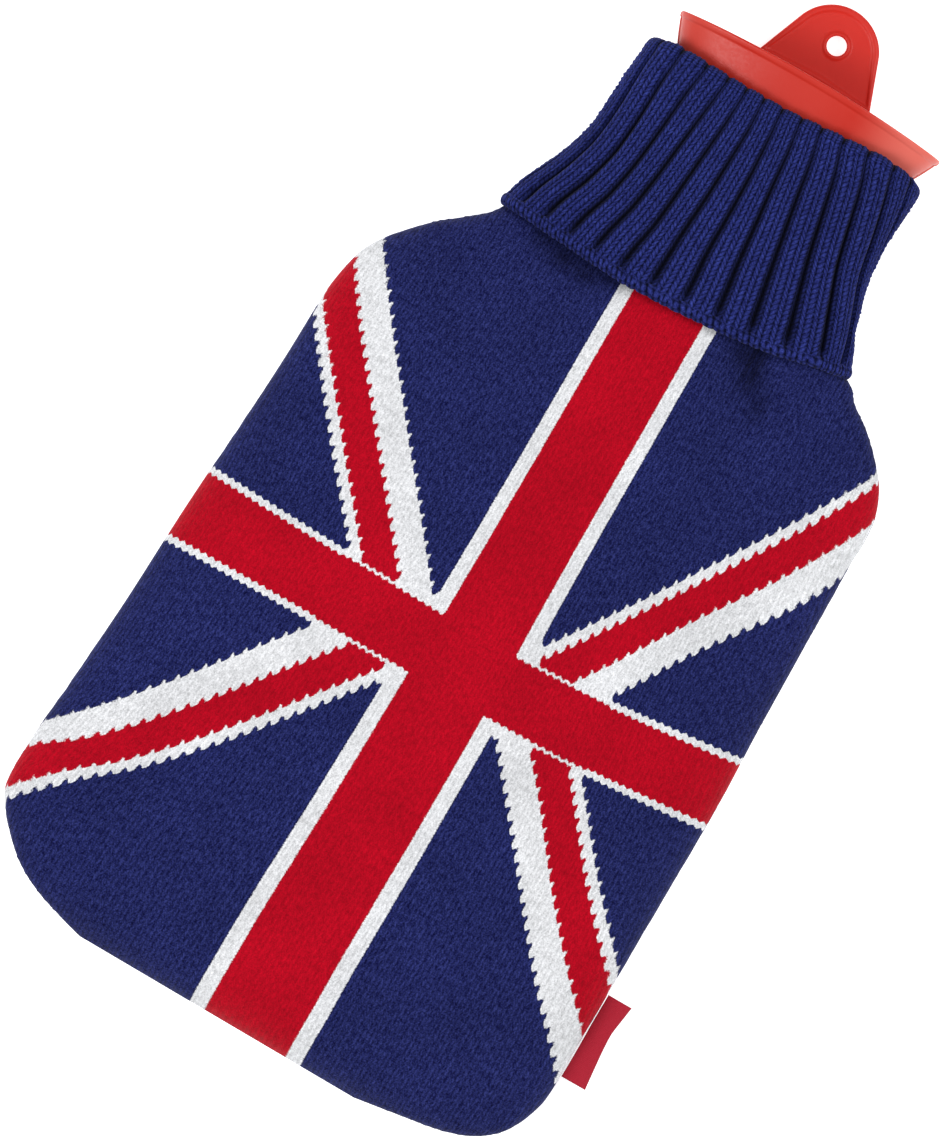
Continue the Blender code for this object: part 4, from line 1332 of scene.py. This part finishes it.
    def cast_off(
        self, centre: float, left: float, right: float, grooves: Array
    ) -> tuple[Array, Array, Array]:
        """The cast-off edge: plump leaning loops, like a fine rope.

        An oval bead is carried round the hem. Its size swells and shrinks
        with a power of the sine of its phase, some times to a rib, and the phase
        turns on round the bead, so that the loops lean.

        Args:
            centre: height of the ring's middle, which is its half-depth too.
            left: its half-width to the left.
            right: its half-width to the right.
            grooves: places of the grooves round it, as shares of its length.

        Returns:
            The bead's points in millimetres, its places in wales and courses,
            and its painted shade: how far each point lies out of the light.
        """
        loops = self.bead_loops * self.ribs
        rib = np.linspace(0.0, self.ribs, loops * self.loop_columns + 1)
        share = np.interp(rib, np.arange(self.ribs + 1.0), np.append(grooves, grooves[0] + 1.0))
        x, z = oval(*np.array([[left], [right], [centre]]), share[None, :], ROUNDNESS)
        edge_x, _, hem_at = columns(self.edges)
        angle = np.linspace(0.0, 2.0 * math.pi, self.bead_steps + 1)[:, None]
        rng = np.random.default_rng(self.bead_seed)
        at, knots = rib * self.bead_loops, np.arange(loops + 1)
        size, shove = (np.interp(at, knots, rng.normal(0.0, d, loops + 1)) for d in self.bead_uneven)
        size[-1], shove[-1] = size[0], shove[0]
        lean = self.bead_lean * np.where(angle > math.pi, angle - 2.0 * math.pi, angle)
        phase = math.pi * (self.bead_loops * rib[None, :] + shove[None, :] + lean)
        swell = np.abs(np.sin(phase)) ** self.bead_swell
        out, up = (
            half * (thin + plump * (swell * (1.0 + size[None, :])))
            for half, (thin, plump) in ((self.bead_out, self.bead_thick), (self.bead_up, self.bead_high))
        )
        inset = self.bead_out - out * np.cos(angle)
        station = np.interp(x, edge_x, hem_at) + self.bead_raised * self.bead_up + up * np.sin(angle)
        x, z = (np.repeat(v, len(angle), axis=0) for v in (x, z))
        sizes = tuple(np.full(len(angle), v) for v in (centre, left, right))
        points = self.ring(x, z, sizes, inset, station)
        wale = phase / math.pi
        middle, round_it = self.bead_course
        course = middle + round_it * np.sin(angle) + leg_slant(wale % 1.0)
        # painted shade in the gaps between the loops
        dark, lit, most = self.bead_painted_shade
        return points, np.stack([wale, course], axis=-1), np.clip(dark - lit * swell, 0.0, most)

    def ring(
        self, x: Array, z: Array, sizes: tuple[Array, Array, Array], inward: Array, station: Array,
        depth: Array | None = None,
    ) -> Array:
        """Draw the points of rings inward, square to their superellipses.

        A superellipse's normal has the powers of the place over each
        half-width, each over that half-width.

        Args:
            x: place across of each point, a row for each ring.
            z: its height above the ring's middle.
            sizes: height of each ring's middle, and its half-widths left and right.
            inward: how far each point is drawn in.
            station: its station.
            depth: half-depth of each ring, or None where it is the middle's height.

        Returns:
            Points in millimetres, with the station as their second number.
        """
        centre, left, right = sizes
        half_x = np.where(x < 0.0, left[:, None], right[:, None])
        half_z = (centre if depth is None else depth)[:, None]
        out_x, out_z = (
            np.sign(v) * np.abs(v / half) ** (ROUNDNESS - 1.0) / half
            for v, half in ((x, half_x), (z, half_z))
        )
        size = np.hypot(out_x, out_z)
        x, z = x - inward * out_x / size, z - inward * out_z / size
        return np.stack(np.broadcast_arrays(x, station, centre[:, None] + z), axis=-1)

    def finish(self, *grids: tuple[Array, Array, Array]) -> bpy.types.Object:
        """Make one mesh of the grids, dress it in rib yarn and say what it is.

        Args:
            *grids: points in millimetres, places in wales and courses, and
                shares of painted shade, out of the light, for each grid.

        Returns:
            The polo neck.
        """
        first = np.cumsum([0, *(points[..., 0].size for points, _, _ in grids)])
        faces = [grid_faces(*grid[0].shape[:2]) + start for grid, start in zip(grids, first)]
        points, uv, painted_shade = (
            np.concatenate([grid.reshape(-1, size) for grid in kind])
            for kind, size in zip(zip(*grids), (3, 2, 1))
        )
        world = place(*points.T)
        marks = {"painted_shade": painted_shade}
        neck = build_mesh("polo_neck_rib", world, np.concatenate(faces), uv / UV_CELLS + self.uv_shift, marks)
        weld = neck.modifiers.new("join", "WELD")
        weld.merge_threshold = self.weld_mm * MM
        neck.data.materials.append(MATERIALS[RIB_KNIT.name])
        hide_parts("polo_neck")
        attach(neck, "root")
        return neck


# ---------------------------------------------------------------- label


@dataclass
class SideLabel:
    """A bare woven tape, folded in two in the side seam and a little bent."""

    rows: tuple[tuple[float, ...], ...] = (
        # station, x at the seam, x of the folded edge, how far the edge droops
        (41.2, 100.0, 109.6, 3.2),
        (49.0, 100.0, 108.7, 2.6),
        (57.0, 99.9, 107.9, 1.6),
        (61.0, 99.8, 107.7, 1.4),
        (67.0, 99.8, 108.4, 2.2),
        (72.6, 99.8, 109.2, 3.0),
    )
    seam_z: float = 14.0
    layer_gap: float = 0.75
    thick: float = 0.32
    fold_blunt: int = 6  # power that keeps the layers apart until close to the fold
    droop_late: float = 1.6  # power that lets the tape droop more towards its edge
    steps: int = 40
    lines: int = 64

    def build(self) -> bpy.types.Object:
        """Build the tape: a narrow loop across, carried along the seam.

        Its two layers lie apart by the root of 1 less a power of the way out,
        and both droop with another power of it.

        Returns:
            The tape.
        """
        at, root, edge, droop = columns(self.rows)
        station = np.linspace(at[0], at[-1], self.lines)
        root, edge, droop = (eased(station, at, v)[:, None] for v in (root, edge, droop))
        path = np.linspace(-1.0, 1.0, self.steps)[None, :]
        out = 1.0 - np.abs(path)
        round_end = np.sqrt(np.clip(1.0 - out**self.fold_blunt, 0.0, 1.0))
        half = self.layer_gap / 2.0 * np.sign(path) * round_end
        x = root + (edge - root - self.thick) * out
        z = self.seam_z - droop * out**self.droop_late + half
        points = place(x, station[:, None], z)
        tape = build_mesh("side_label_tape", points, grid_faces(*points.shape[:2]))
        wall = tape.modifiers.new("tape", "SOLIDIFY")
        wall.thickness = self.thick * MM
        wall.offset = 0.0
        tape.data.materials.append(MATERIALS[RED_TAPE.name])
        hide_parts("side_label")
        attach(tape, "root")
        return tape


# ---------------------------------------------------------------- bottle


@dataclass
class Funnel:
    """The filling funnel: an oval rubber cup with a rolled lip and a mould line."""

    profile: tuple[tuple[float, ...], ...] = (
        # station, half-width, half-depth, up the outside and down the inside
        (328.0, 16.8, 13.2),
        (331.0, 19.2, 13.25),
        (334.0, 22.5, 13.3),
        (338.0, 27.4, 13.4),
        (342.0, 32.0, 13.5),
        (346.0, 36.0, 13.7),
        (350.0, 39.4, 13.9),
        (354.0, 42.1, 14.25),
        (357.5, 44.2, 14.55),
        (362.0, 46.3, 15.3),
        (366.2, 48.05, 16.1),
        (367.0, 48.35, 16.3),
        (367.4, 48.45, 16.35),
        (367.65, 48.75, 16.6),
        (367.9, 49.05, 16.85),
        (368.3, 49.3, 17.05),
        (368.9, 49.55, 17.25),
        (369.3, 49.75, 17.4),
        (369.75, 49.7, 17.35),
        (369.97, 49.4, 17.1),
        (370.0, 48.9, 16.6),
        (370.0, 47.9, 15.6),
        (369.85, 47.2, 14.95),
        (369.3, 46.6, 14.4),
        (368.0, 46.0, 13.8),
        (366.0, 45.2, 13.1),
        (362.0, 43.5, 12.3),
        (357.5, 41.0, 11.6),
        (354.0, 38.7, 11.2),
        (350.0, 35.8, 10.9),
        (346.0, 32.0, 10.7),
        (342.0, 27.0, 10.6),
        (339.4, 22.0, 10.5),
        (337.5, 17.5, 10.4),
        (336.2, 13.6, 10.2),
        (335.5, 10.6, 9.8),
        (334.6, 10.4, 9.6),
        (328.0, 10.4, 9.6),
    )
    points_round: int = 192
    rim: float = 370.0
    rim_half: float = 49.8
    rim_x: float = 4.2
    neck_x: float = 2.5
    middle_z: float = 21.6
    throat_roundness: float = 2.0  # a plain ellipse, which turns squarer up to the rim
    bow: float = 2.3  # how far the rim's ends lie below its middle
    bow_start: float = 342.0
    flange_out: float = 0.55
    flange_half: float = 0.5
    flange_rows: int = 18  # rows of the profile from the throat up to the lip
    flange_points: int = 10
    flange_ends: tuple[float, float] = (340.0, 370.2)
    flange_fades: tuple[float, float] = (12.0, 3.0)  # lengths over which it comes and goes
    flange_least: float = 0.05  # share of its width that is left at its ends
    flange_blunt: float = 0.6  # power that squares its section

    def rings(self, profile: Array, shares: Array) -> Array:
        """Rings of the funnel: superellipses whose ends bow down towards the neck.

        The bow grows with the square of the distance from the middle.

        Args:
            profile: stations, half-widths and half-depths of the rings.
            shares: places round every ring, as shares of its length.

        Returns:
            World points in metres, a row for each ring.
        """
        station, half, depth = profile
        up = (station - self.profile[0][0]) / (self.rim - self.profile[0][0])
        roundness = self.throat_roundness + (BOTTLE_ROUNDNESS - self.throat_roundness) * up
        x, z = oval(half, half, depth, shares[None, :], roundness)
        x = x + (self.neck_x + (self.rim_x - self.neck_x) * up)[:, None]
        share = np.maximum((station - self.bow_start) / (self.rim - self.bow_start), 0.0)[:, None]
        bow = -self.bow * ((x - self.rim_x) / self.rim_half) ** 2 * share
        return place(x, station[:, None] + bow, z + self.middle_z)

    def build(self) -> bpy.types.Object:
        """Build the cup as one closed surface, round its profile and round its rim.

        Returns:
            The cup.
        """
        profile = np.array(self.profile).T
        points = self.rings(profile, np.arange(self.points_round) / self.points_round)
        faces = grid_faces(*points.shape[:2], closed_cols=True, closed_rows=True)
        cup = build_mesh("filling_funnel", points, faces)
        cup.data.materials.append(MATERIALS[FUNNEL_RUBBER.name])
        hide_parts("bottle_funnel")
        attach(cup, "root")
        return cup

    def build_flange(self) -> bpy.types.Object:
        """Build the thin mould line that stands out at both ends of the cup.

        A blunt oval is carried from the throat up to the lip, along the left
        and the right ends of the cup's rings, and narrows at both its ends.

        Returns:
            The mould line.
        """
        rows = np.array(self.profile[: self.flange_rows]).T
        around = self.flange_points
        turn = np.arange(around) / around * 2.0 * math.pi
        start, stop = self.flange_ends
        comes, goes = self.flange_fades
        fade = np.minimum((rows[0] - start) / comes, (stop - rows[0]) / goes)
        fade = np.clip(fade, self.flange_least, 1.0)[:, None]
        strips, faces = [], []
        for end, out in ((0.0, -1.0), (0.5, 1.0)):
            line = self.rings(rows, np.array([end]))[:, 0] / MM
            x = line[:, :1] + out * (np.cos(turn)[None, :] * self.flange_out * fade)
            bulge = np.sign(np.sin(turn)) * np.abs(np.sin(turn)) ** self.flange_blunt
            z = line[:, 2:] + bulge * self.flange_half
            strips.append(np.stack([x, np.broadcast_to(line[:, 1:2], x.shape), z], axis=-1) * MM)
            first = len(faces) * x.size
            last = first + x.size - around
            quads = grid_faces(*x.shape, closed_cols=True) + first
            caps = (end_cap(first, around, outward=False), end_cap(last, around, outward=True))
            quads = np.concatenate([quads, *caps])
            faces.append(quads if out > 0.0 else quads[:, ::-1])
        points = np.concatenate([strip.reshape(-1, 3) for strip in strips])
        flange = build_mesh("funnel_mould_line", points, np.concatenate(faces))
        flange.data.materials.append(MATERIALS[FUNNEL_RUBBER.name])
        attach(flange, "root")
        return flange


@dataclass
class HangingTab:
    """The rubber tab with its round hole, a raised edge and a raised ring."""

    top_radius: float = 16.0
    top_station: float = 381.3
    tab_x: float = 4.3
    base_half: float = 21.3
    base_station: float = 370.3
    low: float = 4.6  # height of its underside
    thick: float = 3.4
    raised: float = 0.5  # how far a face's plain part lies below the full thickness
    hole_x: float = 4.8
    hole_station: float = 384.0
    hole_radius: float = 3.35
    round_points: int = 200
    base_points: int = 40
    from_hole: tuple[tuple[float, float], ...] = (
        # distance from the hole's edge, and height of the face
        (0.0, -0.25),
        (0.12, 0.25),
        (0.4, 0.52),
        (0.75, 0.56),
        (1.1, 0.46),
        (1.4, 0.18),
        (1.8, 0.0),
        (2.3, 0.0),
    )
    from_edge: tuple[tuple[float, float], ...] = (
        # distance from the outer edge, and height of the face
        (3.6, 0.0),
        (3.0, 0.0),
        (2.6, 0.08),
        (2.2, 0.3),
        (1.9, 0.46),
        (1.4, 0.52),
        (0.8, 0.5),
        (0.4, 0.34),
        (0.1, 0.0),
        (0.0, -0.4),
    )

    def reach(self, angle: Array) -> Array:
        """Distance from the hole's middle to the tab's edge in each direction.

        The nearest of three: the round top, the straight flanks that touch
        it, and the base.

        Args:
            angle: directions, in radians from the right.

        Returns:
            A distance in millimetres for each.
        """
        hole = np.array([self.hole_x - self.tab_x, self.hole_station - self.top_station])
        way = np.stack([np.cos(angle), np.sin(angle)], axis=-1)
        along = way @ hole
        reach = -along + np.sqrt(along**2 + self.top_radius**2 - hole @ hole)
        base_y = self.base_station - self.top_station
        far = math.hypot(self.base_half, base_y)
        turn = math.acos(self.top_radius / far) - math.atan2(-base_y, self.base_half)
        for side in (1.0, -1.0):
            normal = np.array([side * math.cos(turn), math.sin(turn)])
            facing = way @ normal
            flank = (self.top_radius - hole @ normal) / np.maximum(facing, TINY)
            x, y = (hole + flank[:, None] * way).T
            on_it = (y < self.top_radius * math.sin(turn)) & (side * x >= self.top_radius * math.cos(turn))
            reach = np.where((facing > TINY) & on_it, flank, reach)
        falling = way[:, 1] < -TINY
        base = np.where(falling, (base_y - hole[1]) / np.where(falling, way[:, 1], -1.0), np.inf)
        return np.minimum(base, reach)

    def build(self) -> bpy.types.Object:
        """Build both faces as rings from the hole to the edge, joined at both.

        Returns:
            The tab.
        """
        low = self.base_station - self.hole_station
        right = math.atan2(low, self.tab_x + self.base_half - self.hole_x)
        left = math.atan2(low, self.tab_x - self.base_half - self.hole_x) + 2.0 * math.pi
        over = np.linspace(right, left, self.round_points, endpoint=False)
        under = np.linspace(left, right + 2.0 * math.pi, self.base_points, endpoint=False)
        angle = np.concatenate([over, under])
        reach = self.reach(angle)
        near = [(np.full(angle.shape, self.hole_radius + d), h) for d, h in self.from_hole]
        far = [(reach - d, h) for d, h in self.from_edge]
        middle = self.low + self.thick / 2.0
        loops = []
        for face in (1.0, -1.0):
            rings = []
            for radius, height in near + far:
                x = self.hole_x + radius * np.cos(angle)
                station = self.hole_station + radius * np.sin(angle)
                z = middle + face * (self.thick / 2.0 - self.raised + height)
                rings.append(place(x, station, z))
            loops.extend(rings if face > 0.0 else rings[::-1])
        points = np.array(loops)
        faces = grid_faces(*points.shape[:2], closed_cols=True, closed_rows=True)[:, ::-1]
        tab = build_mesh("hanging_tab", points, faces)
        tab.data.materials.append(MATERIALS[TAB_RUBBER_PAINTED_LIGHTER.name])
        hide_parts("bottle_tab")
        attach(tab, "root")
        return tab


@dataclass
class Bottle:
    """What is left of the bottle: its body under the cloth, and the stopper."""

    def dress(self) -> None:
        """Give the carried-over nodes their finishes."""
        for node, finish in (("bottle_body", BODY_RUBBER), ("bottle_stopper", STOPPER_PLASTIC)):
            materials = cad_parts[node].data.materials
            materials.clear()
            materials.append(MATERIALS[finish.name])


# ---------------------------------------------------------------- studio


@dataclass
class Studio:
    """A plain pale floor, soft light from above on both sides, and the camera."""

    view_turn: float = 30.5  # degrees that the bottle lies turned in the picture
    view_x: float = -11.6
    view_y: float = -27.65
    view_height_mm: float = 380.7
    subject_z: float = 14.0
    aim_z: float = 30.0  # height that the lights are aimed at
    distance: float = 6.0
    clip_end: float = 100.0
    sensor: float = 36.0
    floor_size: float = 20.0
    glow: float = 0.8  # light that the floor gives of itself, as an acrylic light table does
    grain_mm: float = 3.0
    grain_depth_mm: float = 0.02
    roughness: float = 0.8
    surroundings: float = 0.36  # light from all round
    lamp_size: float = 1.0
    lamps: tuple[tuple[str, tuple[float, float, float], float], ...] = (
        # name, place and power
        ("key", (-0.95, -0.7, 1.9), 29.0),
        ("fill", (0.95, 0.6, 1.9), 21.0),
    )

    def camera(self) -> None:
        """Set a long lens straight above, turned as the picture is."""
        data = bpy.data.cameras.new("camera")
        data.sensor_width = self.sensor
        data.lens = self.sensor * self.distance / (self.view_height_mm * MM)
        data.clip_end = self.clip_end
        camera = bpy.data.objects.new("camera", data)
        camera.location = (self.view_x * MM, self.view_y * MM, self.subject_z * MM + self.distance)
        camera.rotation_euler = (0.0, 0.0, math.radians(self.view_turn))
        bpy.context.scene.collection.objects.link(camera)
        bpy.context.scene.camera = camera

    def floor(self) -> None:
        """Lay a pale acrylic light table."""
        half = self.floor_size / 2.0
        corners = [[-half, -half, 0.0], [half, -half, 0.0], [half, half, 0.0], [-half, half, 0.0]]
        floor = build_mesh("floor", np.array(corners), np.array([[0, 1, 2, 3]]))
        nodes = NodeTree("pale_acrylic_table")
        spot = nodes.add("TexCoord", out="Object")
        grain = nodes.add("TexNoise", {"Vector": spot, "Scale": 1.0 / (self.grain_mm * MM)})
        acrylic = nodes.finish(
            linear("#f7f7f7"), self.roughness, grain, self.grain_depth_mm * MM,
            emission_color=linear("#ffffff"), emission_strength=self.glow,
        )
        floor.data.materials.append(acrylic)

    def light(self, name: str, spot: tuple[float, float, float], power: float) -> None:
        """Hang one square soft light that faces the object.

        Args:
            name: the light's name.
            spot: its place, in metres.
            power: its power, in watts.
        """
        data = bpy.data.lights.new(name, "AREA")
        data.shape = "SQUARE"
        data.size = self.lamp_size
        data.energy = power
        lamp = bpy.data.objects.new(name, data)
        lamp.location = spot
        aim = Vector((0.0, 0.0, self.aim_z * MM)) - Vector(spot)
        lamp.rotation_euler = aim.to_track_quat("-Z", "Y").to_euler()
        bpy.context.scene.collection.objects.link(lamp)

    def build(self) -> None:
        """Build the floor, the lights, the surroundings and the camera."""
        self.camera()
        self.floor()
        for lamp in self.lamps:
            self.light(*lamp)
        world = bpy.data.worlds.new("studio")
        world.use_nodes = True
        background = world.node_tree.nodes["Background"].inputs
        background["Color"].default_value = linear("#ffffff")
        background["Strength"].default_value = self.surroundings
        bpy.context.scene.world = world
        bpy.context.scene.view_settings.view_transform = "Standard"


MATERIALS: dict[str, bpy.types.Material] = {}


def main() -> None:
    """Build every piece in order, and report each."""
    logging.basicConfig(level=logging.INFO, format="%(name)s: %(message)s")
    for finish in (
        FLAG_KNIT, NAVY_KNIT, RIB_KNIT, FUNNEL_RUBBER, TAB_RUBBER_PAINTED_LIGHTER, BODY_RUBBER, STOPPER_PLASTIC, RED_TAPE,
    ):
        MATERIALS[finish.name] = finish.material()
    Studio().build()
    cover = (KnitPanel(Side.FRONT), KnitPanel(Side.BACK), PoloNeck(), SideLabel())
    pieces = [part.build() for part in cover]
    funnel = Funnel()
    pieces += [funnel.build(), funnel.build_flange(), HangingTab().build()]
    Bottle().dress()
    for piece in pieces:
        log.info("%s: %d faces", piece.name, len(piece.data.polygons))


if __name__ == "__main__":
    main()
